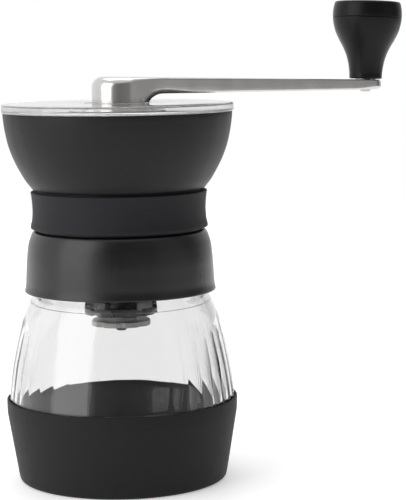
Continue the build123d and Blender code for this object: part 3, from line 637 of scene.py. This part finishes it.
def add_rib(bm, angle):
    """Upright rib between the tube and the bowl's wall, drafted to a thinner rounded crest."""
    out = Vector((cos(angle), sin(angle), 0))
    side = Vector((-sin(angle), cos(angle), 0))
    centre = np.mean(rib_outline, axis=0)
    rings = []
    for across, shrink in ((-0.5, 0.965), (-0.38, 1.0), (0.38, 1.0), (0.5, 0.965)):
        ring = []
        for r, z in rib_outline:
            r = centre[0] + (r - centre[0]) * shrink
            z = centre[1] + (z - centre[1]) * shrink
            ring.append((out * r + side * across * RIB_THICKNESS + Vector((0, 0, z))) * MM)
        rings.append(ring)
    verts = add_grid(bm, np.array(rings), wrap_rows=False)
    bm.faces.new(list(reversed(verts[0])))
    bm.faces.new(verts[-1])


hopper_mesh = bmesh.new()
lathe_into(hopper_mesh, hopper_profile, 300)
lathe_into(hopper_mesh, tube_profile, 96)
for rib_angle in RIB_ANGLES:
    add_rib(hopper_mesh, rib_angle)
hopper = finish_mesh("hopper_moulding", hopper_mesh)
stand_for(hopper, "head", "hopper", finish="black_plastic", material=HOPPER_BLACK)

# ---------------------------------------------------------------- burrs and their holders

TEETH = 32
FEEDS = 7
FACES_MEET = 88.0
FINE_TOP = 88.6
FEED_FOOT = 86.5
RING_FACE_OUTER = 20.3
CONE_FACE_INNER = 8.9
CONE_FACE_LOW = 77.2


def sawtooth(angle, count, twist):
    """0 to 1 ramp that repeats count times round the axis."""
    return np.mod((angle + twist) * count / (2 * pi), 1.0)


def burr_cuts(angle, z, fine_depth, fine_lean, feed_depth, feed_lean):
    """Depth of a burr's fine teeth, low on its face, and of the feed flutes above them."""
    above = z - FACES_MEET
    fine = fine_depth * sawtooth(angle, TEETH, above * fine_lean) * np.clip((FINE_TOP - z) / 1.5, 0, 1)
    feed = feed_depth * sawtooth(angle, FEEDS, above * feed_lean) ** 2 * np.clip((z - FEED_FOOT) / 4, 0, 1)
    return fine + feed


def outer_burr_shape(angle, r, z):
    cuts = burr_cuts(angle, z, 0.75, 0.03, 1.9, -0.05)
    return r + np.where(r < RING_FACE_OUTER, cuts, 0), z


_, OUTER_LOW, OUTER_HIGH = extent("outer_burr")
outer_burr_profile = rounded(
    [
        *ladder((18.9, OUTER_LOW), (15.5, FACES_MEET), 0.5),
        *ladder((15.8, FINE_TOP), (19.8, OUTER_HIGH), 0.5),
        (22.0, OUTER_HIGH, 0.4),
        (22.0, OUTER_LOW, 0.4),
    ]
)
outer_burr = lathe("ring_burr", outer_burr_profile, 448, outer_burr_shape, sharp=30)
stand_for(outer_burr, "head", "outer_burr", finish="ceramic", material=CERAMIC)

RETAINER_RADIUS = 26.4
RETAINER_BORE = 20.2
_, RETAINER_LOW, RETAINER_HIGH = extent("burr_retainer")
retainer_profile = rounded(
    [
        (RETAINER_BORE, RETAINER_LOW, 0.4),
        (RETAINER_RADIUS, RETAINER_LOW, 0.8),
        (RETAINER_RADIUS, RETAINER_HIGH, 0.4),
        (THROAT_RADIUS + 0.05, RETAINER_HIGH, 0.3),
        (THROAT_RADIUS + 0.05, OUTER_LOW),
        (RETAINER_BORE, OUTER_LOW, 0.2),
    ]
)
retainer = lathe("burr_retainer_ring", retainer_profile, 180)
stand_for(retainer, "head", "burr_retainer", finish="black_plastic", material=INNER_BLACK)


def inner_burr_shape(angle, r, z):
    cuts = burr_cuts(angle, z, 0.7, -0.03, 2.0, 0.06)
    return r - np.where((r > CONE_FACE_INNER) & (z > CONE_FACE_LOW), cuts, 0), z


_, INNER_LOW, INNER_HIGH = extent("inner_burr")
inner_burr_profile = rounded(
    [
        (6.95, INNER_LOW),
        (17.4, INNER_LOW, 0.4),
        *ladder((18.7, 77.6), (18.2, OUTER_LOW), 0.5),
        *ladder((18.1, 79.8), (14.9, FACES_MEET), 0.5),
        *ladder((14.6, FINE_TOP), (9.3, INNER_HIGH), 0.5),
        (6.2, INNER_HIGH, 0.3),
        (6.2, 89.0),
        (3.9, 89.0),
        (3.9, 87.1),
        (6.95, 87.1),
    ]
)
inner_burr = lathe("cone_burr", inner_burr_profile, 448, inner_burr_shape, sharp=30)
stand_for(inner_burr, "burr", "inner_burr", finish="ceramic", material=CERAMIC)

DRIVER_RADIUS = 11.2
DRIVER_BORE = 3.56
DRIVER_HEXAGON = 6.9
_, CARRIER_LOW, CARRIER_HIGH = extent("burr_carrier")
carrier_mesh = bmesh.new()
carrier_profile = rounded(
    [
        (DRIVER_BORE, CARRIER_LOW, 0.2),
        (DRIVER_RADIUS, CARRIER_LOW, 0.5),
        (DRIVER_RADIUS, INNER_LOW, 0.4),
        (DRIVER_BORE, INNER_LOW),
    ]
)
lathe_into(carrier_mesh, carrier_profile, 120)
prism_into(carrier_mesh, hexagon(DRIVER_HEXAGON), INNER_LOW - 0.1, CARRIER_HIGH)
carrier = finish_mesh("burr_driver", carrier_mesh)
stand_for(carrier, "burr", "burr_carrier", finish="black_plastic", material=INNER_BLACK)

CLICK_RADIUS = 14.6
CLICK_BLOCKS = 9
CLICK_BLOCKS_AT = radians(8)
CLICK_FLANGE = 2.2
_, CLICK_LOW, CLICK_HIGH = extent("click_ring")


def click_shape(angle, r, z):
    """Castellated rim: blocks as tall as the rim, with a thin flange between them."""
    phase = np.mod((angle - CLICK_BLOCKS_AT) * CLICK_BLOCKS / (2 * pi) + 0.5, 1.0) - 0.5
    between = np.clip((np.abs(phase) - 0.3) / 0.03, 0, 1)
    rim = r > 12.9
    high = rim & (z > CLICK_LOW + 2.3)
    low = rim & (z < CLICK_LOW + 1.0)
    z = np.where(high, z - between * (z - CLICK_LOW - CLICK_FLANGE), z)
    z = np.where(low, z + between * (CLICK_LOW + 1.1 - z), z)
    return r, z


click_profile = rounded(
    [
        (DRIVER_BORE, CLICK_LOW),
        (12.2, CLICK_LOW, 0.3),
        (12.3, CLICK_LOW + 0.9, 0.2),
        (13.0, CLICK_LOW + 0.15, 0.2),
        (CLICK_RADIUS, CLICK_LOW + 0.15, 0.25),
        (CLICK_RADIUS, CLICK_LOW + 3.0, 0.25),
        (13.0, CLICK_LOW + 3.0, 0.25),
        (12.6, CLICK_LOW + CLICK_FLANGE, 0.3),
        (6.4, CLICK_LOW + CLICK_FLANGE, 0.5),
        (6.4, CLICK_HIGH),
        (DRIVER_BORE, CLICK_HIGH),
    ],
    3,
)
click_ring = lathe("click_ring_moulding", click_profile, 540, click_shape, sharp=30)
stand_for(click_ring, "burr", "click_ring", finish="black_plastic", material=INNER_BLACK)

DIAL_RADIUS = 11.9
_, DIAL_LOW, DIAL_HIGH = extent("adjusting_dial")
DIAL_TOP = 64.3
DIAL_LOBES = 8
DIAL_LOBES_AT = radians(10)
SCALLOP_DEPTH = 1.0
NUT_POCKET_TOP = 65.7


def dial_shape(angle, r, z):
    """Scalloped edge between the dial's finger lobes."""
    phase = np.mod((angle - DIAL_LOBES_AT) * DIAL_LOBES / (2 * pi) + 0.5, 1.0) - 0.5
    scallop = np.clip(1 - (phase / 0.2) ** 2, 0, 1)
    return r - np.where(r > 9.5, SCALLOP_DEPTH * scallop, 0), z


dial_profile = rounded(
    [
        (4.7, DIAL_LOW, 0.2),
        (DIAL_RADIUS, DIAL_LOW, 0.6),
        (DIAL_RADIUS, DIAL_TOP, 0.4),
        (6.4, DIAL_TOP, 0.4),
        (6.4, DIAL_HIGH, 0.2),
        (2.7, DIAL_HIGH, 0.2),
        (2.7, NUT_POCKET_TOP),
        (4.7, NUT_POCKET_TOP),
    ]
)
dial = lathe("dial_moulding", dial_profile, 320, dial_shape)
stand_for(dial, "dial", "adjusting_dial", finish="grey_plastic", material=GREY)

# ---------------------------------------------------------------- shaft and bushes

STUD_RADIUS = 2.3
STUD_PITCH = 0.8
STUD_THREAD = 0.28
JOURNAL = 3.5
ACROSS_FLATS = 5.0
FLATS_LOW = 67.4
FLATS_HIGH = 96.0
CRANK_HEXAGON = 4.62
_, SHAFT_LOW, SHAFT_HIGH = extent("main_shaft")
WASHER_TOP = extent("thrust_washer")[2]


def stud_shape(angle, r, z):
    """Fine thread rolled into the stud's end."""
    phase = np.abs(np.mod(z / STUD_PITCH - angle / (2 * pi), 1.0) - 0.5) * 2
    return r - np.where(r > STUD_RADIUS - 0.05, STUD_THREAD * (1 - phase), 0), z


shaft_mesh = bmesh.new()
stud_profile = [
    (0, SHAFT_LOW),
    (STUD_RADIUS - 0.5, SHAFT_LOW),
    *ladder((STUD_RADIUS, SHAFT_LOW + 0.5), (STUD_RADIUS, FLATS_LOW + 0.05), 0.1),
    (0, FLATS_LOW + 0.05),
]
lathe_into(shaft_mesh, stud_profile, 64, stud_shape)
flat_angle = asin(ACROSS_FLATS / 2 / JOURNAL)
flats = []
for side in (0, pi):
    for step in range(9):
        turned = side - flat_angle + 2 * flat_angle * step / 8
        flats.append((JOURNAL * cos(turned), JOURNAL * sin(turned)))
prism_into(shaft_mesh, flats, FLATS_LOW, FLATS_HIGH + 0.1)
journal_profile = rounded(
    [
        (0, FLATS_HIGH),
        (JOURNAL, FLATS_HIGH, 0.3),
        (JOURNAL, 100.55),
        (2.9, 100.55),
        (2.9, 101.45),
        (JOURNAL, 101.45),
        (JOURNAL, WASHER_TOP + 0.1),
        (0, WASHER_TOP + 0.1),
    ]
)
lathe_into(shaft_mesh, journal_profile, 64)
prism_into(shaft_mesh, hexagon(CRANK_HEXAGON), WASHER_TOP, SHAFT_HIGH, 0.5)
shaft = finish_mesh("steel_shaft", shaft_mesh)
stand_for(shaft, "shaft", "main_shaft", finish="steel", material=TURNED)

BUSH_BORE = 3.55
BUSH_RADIUS = 5.48
BUSH_FLANGE = 7.2
BUSH_LENGTH = 9.0
FLANGE_THICKNESS = 1.6
for name, flange_low, body_low in (
    ("upper_bush", TUBE_HIGH, TUBE_HIGH - BUSH_LENGTH),
    ("lower_bush", TUBE_LOW - FLANGE_THICKNESS, TUBE_LOW),
):
    bush_mesh = bmesh.new()
    flange_high = flange_low + FLANGE_THICKNESS
    body_high = body_low + BUSH_LENGTH
    flange = [
        (BUSH_BORE, flange_low),
        (BUSH_FLANGE, flange_low, 0.3),
        (BUSH_FLANGE, flange_high, 0.3),
        (BUSH_BORE, flange_high),
    ]
    lathe_into(bush_mesh, rounded(flange), 96)
    body = [
        (BUSH_BORE, body_low),
        (BUSH_RADIUS, body_low),
        (BUSH_RADIUS, body_high),
        (BUSH_BORE, body_high),
    ]
    lathe_into(bush_mesh, body, 96)
    bush = finish_mesh(name + "_moulding", bush_mesh)
    stand_for(bush, "head", name, finish="grey_plastic", material=GREY)

# ---------------------------------------------------------------- lid

LID_RADIUS, LID_LOW, LID_TOP = extent("lid")
LID_HOLE = 13.2
LID_RING = 42.6
LID_RING_INNER = LID_RING - 1.5
LID_UNDER = LID_TOP - 2.3
LID_SEAT = RIM + WELDED
lid_profile = rounded(
    [
        (LID_HOLE, LID_UNDER, 0.4),
        (LID_RING_INNER, LID_UNDER, 0.8),
        (LID_RING_INNER, LID_LOW, 0.4),
        (LID_RING, LID_LOW, 0.4),
        (LID_RING, LID_SEAT, 0.3),
        (LID_RADIUS, LID_SEAT, 0.5),
        (LID_RADIUS, LID_TOP, 0.7),
        (LID_HOLE, LID_TOP, 0.6),
    ],
    6,
)
lid = lathe("lid_clear", lid_profile, 360)
stand_for(lid, "lid", "lid", finish="clear_plastic", material=CLEAR)

# ---------------------------------------------------------------- crank

KNOB_JOINT = next(joint for joint in frame["joints"] if joint["name"] == "knob_spin")
CRANK_RADIUS = KNOB_JOINT["pos_m"][0] / MM
HUB_OFFSET = 0.9
HUB_RADIUS = 10.9
END_RADIUS = 6.8
ARM_SLOPE = tan(radians(1.79))
HUB_TOP = 161.6
HUB_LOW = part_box("crank_arm")[0].z / MM
UNDERSIDE = 154.6
UNDERSIDE_END = 153.1
UNDERSIDE_INSETS = (6.4, 5.4, 4.2, 3.0, 2.2)
TOP_INSETS = (5.2, 5.8, 6.4)
HUB_TOP_ROUNDING = 4.6
ARM_TOP_ROUNDING = 1.3
GOOSENECK_ROUNDING = 1.9
GOOSENECK = 6.5
THROAT = HUB_RADIUS + GOOSENECK


def arm_outline(count_hub, count_side, count_end):
    """Plan of the arm from the hub's back by the -Y side to its end, as (centre, radius, angle, share).
    A point of the straight side has no centre: it is share of the way from the hub to the end."""
    lean = asin((HUB_RADIUS - END_RADIUS) / (CRANK_RADIUS - HUB_OFFSET))
    hub_end = pi / 2 - lean
    points = []
    for k in range(count_hub):
        turned = pi + (pi - hub_end) * k / count_hub
        points.append((HUB_OFFSET, HUB_RADIUS, turned, 0.0))
    for k in range(count_side):
        points.append((None, None, -hub_end, (k / count_side) ** 1.6))
    for k in range(count_end + 1):
        turned = -hub_end + hub_end * k / count_end
        points.append((CRANK_RADIUS, END_RADIUS, turned, 0.0))
    return points


def on_arc(centre, radius, turned):
    return Vector((centre + radius * cos(turned), radius * sin(turned)))


def outline_point(item, inset):
    """Place of one point of arm_outline, moved inwards by inset."""
    centre, radius, turned, along = item
    if centre is None:
        start = on_arc(HUB_OFFSET, HUB_RADIUS - inset, turned)
        end = on_arc(CRANK_RADIUS, END_RADIUS - inset, turned)
        return start.lerp(end, along)
    return on_arc(centre, radius - inset, turned)


def smooth_step(value, low, high):
    t = min(1.0, max(0.0, (value - low) / (high - low)))
    return t * t * (3 - 2 * t)


def top_height(x):
    return HUB_TOP - x * ARM_SLOPE


def under_height(x, y):
    """Underside: flat along the arm, turning down into the hub by the gooseneck."""
    out = hypot(x - HUB_OFFSET, y)
    along = max(0.0, x - HUB_OFFSET - THROAT) / (CRANK_RADIUS - HUB_OFFSET - THROAT)
    flat = UNDERSIDE + (UNDERSIDE_END - UNDERSIDE) * along
    if out >= THROAT:
        return flat
    if out <= HUB_RADIUS:
        return UNDERSIDE - GOOSENECK
    return UNDERSIDE - GOOSENECK + sqrt(max(0.0, GOOSENECK**2 - (THROAT - out) ** 2))


def top_rounding(x):
    """Rounding of the top edge: full over the hub, crisp along the arm, softer round the end."""
    near = HUB_TOP_ROUNDING + (ARM_TOP_ROUNDING - HUB_TOP_ROUNDING) * smooth_step(x, -HUB_RADIUS, 16)
    return near - 0.6 * smooth_step(x, 16, 110) + 0.5 * smooth_step(x, CRANK_RADIUS, CRANK_RADIUS + 5)


def under_rounding(x, y):
    """Rounding of the lower edge: none on the hub, widest at the gooseneck, softer round the end."""
    out = hypot(x - HUB_OFFSET, y)
    neck_edge = GOOSENECK_ROUNDING * smooth_step(out, HUB_RADIUS - 0.1, HUB_RADIUS + 2.5)
    arm_edge = neck_edge - 1.2 * smooth_step(out, 18, 34)
    return arm_edge + 0.9 * smooth_step(out, CRANK_RADIUS - 12, CRANK_RADIUS + 2)


def arm_ring(items, inset, height):
    """One ring round the arm. inset(edge) and height(edge, place) shape it at each point."""
    ring = []
    for item in items:
        edge = outline_point(item, 0)
        place = outline_point(item, inset(edge))
        ring.append((place.x, place.y, height(edge, place)))
    return ring


def arm_rings(items):
    """Rings of the arm from the middle of its underside, up its side, to the middle of its top."""
    rings = []
    for inset in UNDERSIDE_INSETS:
        rings.append(arm_ring(items, lambda edge: inset, lambda edge, place: under_height(place.x, place.y)))
    for step in range(7):
        share = 1 - sin(pi / 2 * step / 6)
        lift = 1 - cos(pi / 2 * step / 6)

        def under_edge(edge, place):
            return under_height(place.x, place.y) + under_rounding(edge.x, edge.y) * lift

        rings.append(arm_ring(items, lambda edge: under_rounding(edge.x, edge.y) * share, under_edge))
    for step in range(9):
        share = 1 - cos(pi / 2 * step / 8)
        drop = 1 - sin(pi / 2 * step / 8)

        def top_edge(edge, place):
            return top_height(place.x) - top_rounding(edge.x) * drop

        rings.append(arm_ring(items, lambda edge: top_rounding(edge.x) * share, top_edge))
    for inset in TOP_INSETS:
        rings.append(arm_ring(items, lambda edge: inset, lambda edge, place: top_height(place.x)))
    return rings


def make_arm():
    """The arm with the top of its hub, mirrored from one half and closed above and below."""
    items = arm_outline(40, 90, 24)
    rings = arm_rings(items)
    mirrored = []
    for ring in rings:
        other = [(x, -y, z) for x, y, z in reversed(ring[1:-1])]
        mirrored.append(ring + other)
    grid = np.array(mirrored) * MM
    bm = bmesh.new()
    verts = add_grid(bm, grid, wrap_rows=False)
    half = len(items) - 1
    for row, flip in ((verts[0], False), (verts[-1], True)):
        for k in range(half):
            a = row[k]
            b = row[k + 1]
            c = row[(2 * half - k - 1) % (2 * half)]
            d = row[(2 * half - k) % (2 * half)]
            corners = []
            for vert in (a, b, c, d):
                if vert not in corners:
                    corners.append(vert)
            if len(corners) > 2:
                bm.faces.new(corners if flip else list(reversed(corners)))
    return finish_mesh("crank_casting", bm, sharp=50)


def combine(piece, other, operation):
    """Exact boolean of piece with other, which is removed afterwards."""
    modifier = piece.modifiers.new("combine", "BOOLEAN")
    modifier.operation = operation
    modifier.solver = "EXACT"
    modifier.object = other
    bpy.context.view_layer.update()
    graph = bpy.context.evaluated_depsgraph_get()
    done = bpy.data.meshes.new_from_object(piece.evaluated_get(graph))
    piece.modifiers.clear()
    piece.data = done
    bpy.data.objects.remove(other)


arm = make_arm()
HUB_FOOT_RADIUS = HUB_RADIUS - 0.01
HUB_FOOT_TOP = UNDERSIDE - GOOSENECK + 2.0
SOCKET_HEXAGON = 4.68
hub_profile = rounded(
    [
        (0, HUB_LOW),
        (HUB_FOOT_RADIUS, HUB_LOW, 0.6),
        (HUB_FOOT_RADIUS, HUB_FOOT_TOP),
        (0, HUB_FOOT_TOP),
    ]
)
hub = lathe("hub_blank", hub_profile)
hub.data.transform(Matrix.Translation((HUB_OFFSET * MM, 0, 0)))
combine(arm, hub, "UNION")
socket_mesh = bmesh.new()
prism_into(socket_mesh, hexagon(SOCKET_HEXAGON), HUB_LOW - 2, SHAFT_HIGH + 0.02, 0.02)
socket = finish_mesh("socket_blank", socket_mesh)
combine(arm, socket, "DIFFERENCE")
arm.data.polygons.foreach_set("use_smooth", [True] * len(arm.data.polygons))
arm.data.set_sharp_from_angle(angle=radians(40))
arm.name = "crank_casting"
stand_for(arm, "crank", "crank_arm", finish="polished_steel", material=STEEL)

# ---------------------------------------------------------------- knob, on its leaning pin

KNOB_AXIS = Vector(KNOB_JOINT["axis"]).normalized()
KNOB_LEAN = Vector((0, 0, 1)).rotation_difference(KNOB_AXIS).to_matrix().to_4x4()
KNOB_PLACE = Matrix.Translation(KNOB_JOINT["pos_m"]) @ KNOB_LEAN
KNOB_GAP = 0.3
KNOB_NECK = 7.2
KNOB_RADIUS = 15.2
KNOB_SEAM = 27.2
KNOB_TOP = KNOB_SEAM - 0.06
CAP_LOW = KNOB_SEAM + 0.06
CAP_TOP = 34.64
CAP_FLOOR = 23.6
CAP_SPIGOT = 10.0
PIN_RADIUS = 3.0
PIN_BORE = PIN_RADIUS + 0.05
KNOB_SIDE = [
    (KNOB_NECK, 1.6),
    (7.27, 3.2),
    (7.78, 6.8),
    (8.73, 10.3),
    (10.21, 13.8),
    (12.2, 17.4),
    (13.85, 20.9),
    (14.8, 24.4),
]

knob_profile = rounded(
    [
        (PIN_BORE, 1.1),
        (5.0, 1.1),
        (5.0, KNOB_GAP),
        (KNOB_NECK, KNOB_GAP, 0.55),
        *curve(KNOB_SIDE, 6),
        (15.12, 26.6),
        (KNOB_RADIUS, KNOB_TOP, 0.22),
        (CAP_SPIGOT + 0.05, KNOB_TOP),
        (CAP_SPIGOT + 0.05, CAP_FLOOR),
        (PIN_BORE, CAP_FLOOR),
    ]
)
knob = lathe("knob_moulding", knob_profile)
knob.data.transform(KNOB_PLACE)
stand_for(knob, "knob", "knob_body", finish="knob_plastic", material=KNOB_BLACK)

cap_profile = rounded(
    [
        (0, CAP_LOW),
        (7.6, CAP_LOW),
        (7.6, 25.3, 0.3),
        (CAP_SPIGOT, 25.3, 0.3),
        (CAP_SPIGOT, CAP_LOW),
        (KNOB_RADIUS - 0.02, CAP_LOW, 0.22),
        *curve([(15.13, 29.6), (14.92, 31.4), (14.6, 32.8)], 4),
        (14.25, 33.95, 1.1),
        *curve([(12.6, 34.2), (8.5, 34.46), (4.5, 34.58), (1.2, CAP_TOP)], 4),
        (0, CAP_TOP),
    ]
)
cap = lathe("cap_moulding", cap_profile)
cap.data.transform(KNOB_PLACE)
stand_for(cap, "knob", "knob_cap", finish="knob_plastic", material=KNOB_BLACK)

RIVET_TOP = 4.4
pin_profile = rounded(
    [
        (0, -RIVET_TOP - 1.0),
        (1.9, -RIVET_TOP - 0.95, 0.8),
        (2.6, -RIVET_TOP - 0.2, 0.3),
        (2.04, -RIVET_TOP + 0.1),
        (2.04, 0.08),
        (4.6, 0.08, 0.1),
        (4.6, 0.8, 0.1),
        (PIN_RADIUS, 0.8),
        (PIN_RADIUS, 24.6),
        (2.4, 24.6),
        (2.4, 25.5),
        (PIN_RADIUS, 25.5),
        (PIN_RADIUS, 26.4, 0.4),
        (0, 26.4),
    ]
)
pin = lathe("rivet_pin", pin_profile, 64)
pin.data.transform(KNOB_PLACE)
stand_for(pin, "crank", "knob_pin", finish="steel", material=TURNED)

# ---------------------------------------------------------------- CAD nodes that stay

KEPT = (
    "collar_screws",
    "thrust_washer",
    "shaft_clip",
    "spring_washer",
    "burr_spring",
    "dial_nut",
    "knob_clip",
)
for node_name in KEPT:
    node = frame["nodes"][node_name]
    node.data.materials.clear()
    node.data.materials.append(TURNED)

# ---------------------------------------------------------------- floor, light, camera

ARM_AWAY = radians(34.8)
TO_CAMERA = Vector((-sin(ARM_AWAY), -cos(ARM_AWAY), 0))
TO_RIGHT = Vector((cos(ARM_AWAY), -sin(ARM_AWAY), 0))
CAMERA_DISTANCE = 0.7318
CAMERA_HEIGHT = 0.1766
CAMERA_YAW = radians(2.614)
CAMERA_PITCH = radians(6.613)
CAMERA_ROLL = radians(-0.690)
FOCAL_TO_HEIGHT = 3.6628
SENSOR = 36.0
UP = Vector((0, 0, 1))

FLOOR_RADIUS = 1.2
floor_mesh = bmesh.new()
bmesh.ops.create_circle(floor_mesh, cap_ends=True, radius=FLOOR_RADIUS, segments=96)
floor_data = bpy.data.meshes.new("floor")
floor_mesh.to_mesh(floor_data)
floor_mesh.free()
floor = bpy.data.objects.new("floor", floor_data)
bpy.context.scene.collection.objects.link(floor)
floor_look = Shader("pale_floor", Roughness=0.6, Specular_IOR_Level=0.2, Emission_Strength=0.34)
floor_look.tint(floor_look.noise(6, 3), (0.9, 0.9, 0.9), (0.92, 0.92, 0.92))
floor_look.surface.inputs["Emission Color"].default_value = (1, 1, 1, 1)
floor_data.materials.append(floor_look.material)

AROUND = (
    (-180, 1.0),
    (-70, 1.0),
    (-36, 0.88),
    (-26, 0.3),
    (0, 0.2),
    (40, 0.24),
    (56, 0.4),
    (78, 0.4),
    (100, 0.14),
    (135, 0.6),
    (180, 1.0),
)
TOP_LIGHT = 0.9


def studio_world():
    """White for the camera. As light it is a room that is bright behind and to the left of the mill,
    and dim around the photographer and to the right, as AROUND says in degrees from the camera."""
    world = bpy.data.worlds.new("studio")
    bpy.context.scene.world = world
    world.use_nodes = True
    tree = world.node_tree
    tree.nodes.clear()
    link = tree.links.new
    coords = tree.nodes.new("ShaderNodeTexCoord")

    def along(direction):
        dot = tree.nodes.new("ShaderNodeVectorMath")
        dot.operation = "DOT_PRODUCT"
        dot.inputs[1].default_value = direction
        link(coords.outputs["Generated"], dot.inputs[0])
        return dot.outputs["Value"]

    azimuth = tree.nodes.new("ShaderNodeMath")
    azimuth.operation = "ARCTAN2"
    link(along(TO_RIGHT), azimuth.inputs[0])
    link(along(TO_CAMERA), azimuth.inputs[1])
    turned = tree.nodes.new("ShaderNodeMapRange")
    turned.inputs["From Min"].default_value = -pi
    turned.inputs["From Max"].default_value = pi
    link(azimuth.outputs["Value"], turned.inputs["Value"])
    ramp = tree.nodes.new("ShaderNodeValToRGB")
    ramp.color_ramp.interpolation = "EASE"
    stops = ramp.color_ramp.elements
    while len(stops) < len(AROUND):
        stops.new(0.5)
    for stop, (degrees, value) in zip(stops, AROUND):
        stop.position = (degrees + 180) / 360
        stop.color = (value, value, value, 1)
    link(turned.outputs["Result"], ramp.inputs["Fac"])
    high = tree.nodes.new("ShaderNodeMapRange")
    high.interpolation_type = "SMOOTHSTEP"
    high.inputs["From Min"].default_value = 0.6
    high.inputs["From Max"].default_value = 0.95
    link(along(UP), high.inputs["Value"])
    blend = tree.nodes.new("ShaderNodeMix")
    link(high.outputs["Result"], blend.inputs["Factor"])
    link(ramp.outputs["Color"], blend.inputs["A"])
    blend.inputs["B"].default_value = TOP_LIGHT
    light = tree.nodes.new("ShaderNodeBackground")
    light.inputs["Color"].default_value = (1, 1, 1, 1)
    link(blend.outputs["Result"], light.inputs["Strength"])
    seen = tree.nodes.new("ShaderNodeBackground")
    seen.inputs["Color"].default_value = (1, 1, 1, 1)
    path = tree.nodes.new("ShaderNodeLightPath")
    mix = tree.nodes.new("ShaderNodeMixShader")
    out = tree.nodes.new("ShaderNodeOutputWorld")
    link(path.outputs["Is Camera Ray"], mix.inputs["Fac"])
    link(light.outputs["Background"], mix.inputs[1])
    link(seen.outputs["Background"], mix.inputs[2])
    link(mix.outputs["Shader"], out.inputs["Surface"])


LAMP_AIM = Vector((0, 0, 0.1))


def soft_light(name, place, size, watts):
    """Rectangular soft box aimed at the middle of the mill."""
    data = bpy.data.lights.new(name, "AREA")
    data.shape = "RECTANGLE"
    data.size, data.size_y = size
    data.energy = watts
    lamp = bpy.data.objects.new(name, data)
    lamp.location = place
    lamp.rotation_euler = (LAMP_AIM - lamp.location).to_track_quat("-Z", "Y").to_euler()
    bpy.context.scene.collection.objects.link(lamp)


studio_world()
soft_light("overhead", UP * 1.6 - TO_CAMERA * 0.5, (1.6, 1.2), 7.0)
soft_light("key_left", TO_RIGHT * -1.05 + TO_CAMERA * 0.7 + UP * 0.55, (1.1, 1.4), 7.0)

camera_data = bpy.data.cameras.new("camera")
camera_data.sensor_width = SENSOR
camera_data.lens = FOCAL_TO_HEIGHT * SENSOR
camera_data.clip_start = 0.01
camera_data.clip_end = 200
camera = bpy.data.objects.new("camera", camera_data)
bpy.context.scene.collection.objects.link(camera)
AWAY = -TO_CAMERA
flat_ahead = TO_RIGHT * sin(CAMERA_YAW) + AWAY * cos(CAMERA_YAW)
flat_right = TO_RIGHT * cos(CAMERA_YAW) - AWAY * sin(CAMERA_YAW)
ahead = flat_ahead * cos(CAMERA_PITCH) - UP * sin(CAMERA_PITCH)
above = flat_ahead * sin(CAMERA_PITCH) + UP * cos(CAMERA_PITCH)
view_right = flat_right * cos(CAMERA_ROLL) + above * sin(CAMERA_ROLL)
view_up = above * cos(CAMERA_ROLL) - flat_right * sin(CAMERA_ROLL)
turn = Matrix((view_right, view_up, -ahead)).transposed()
camera.matrix_world = Matrix.Translation(TO_CAMERA * CAMERA_DISTANCE + UP * CAMERA_HEIGHT) @ turn.to_4x4()
bpy.context.scene.camera = camera
bpy.context.scene.view_settings.view_transform = "Standard"
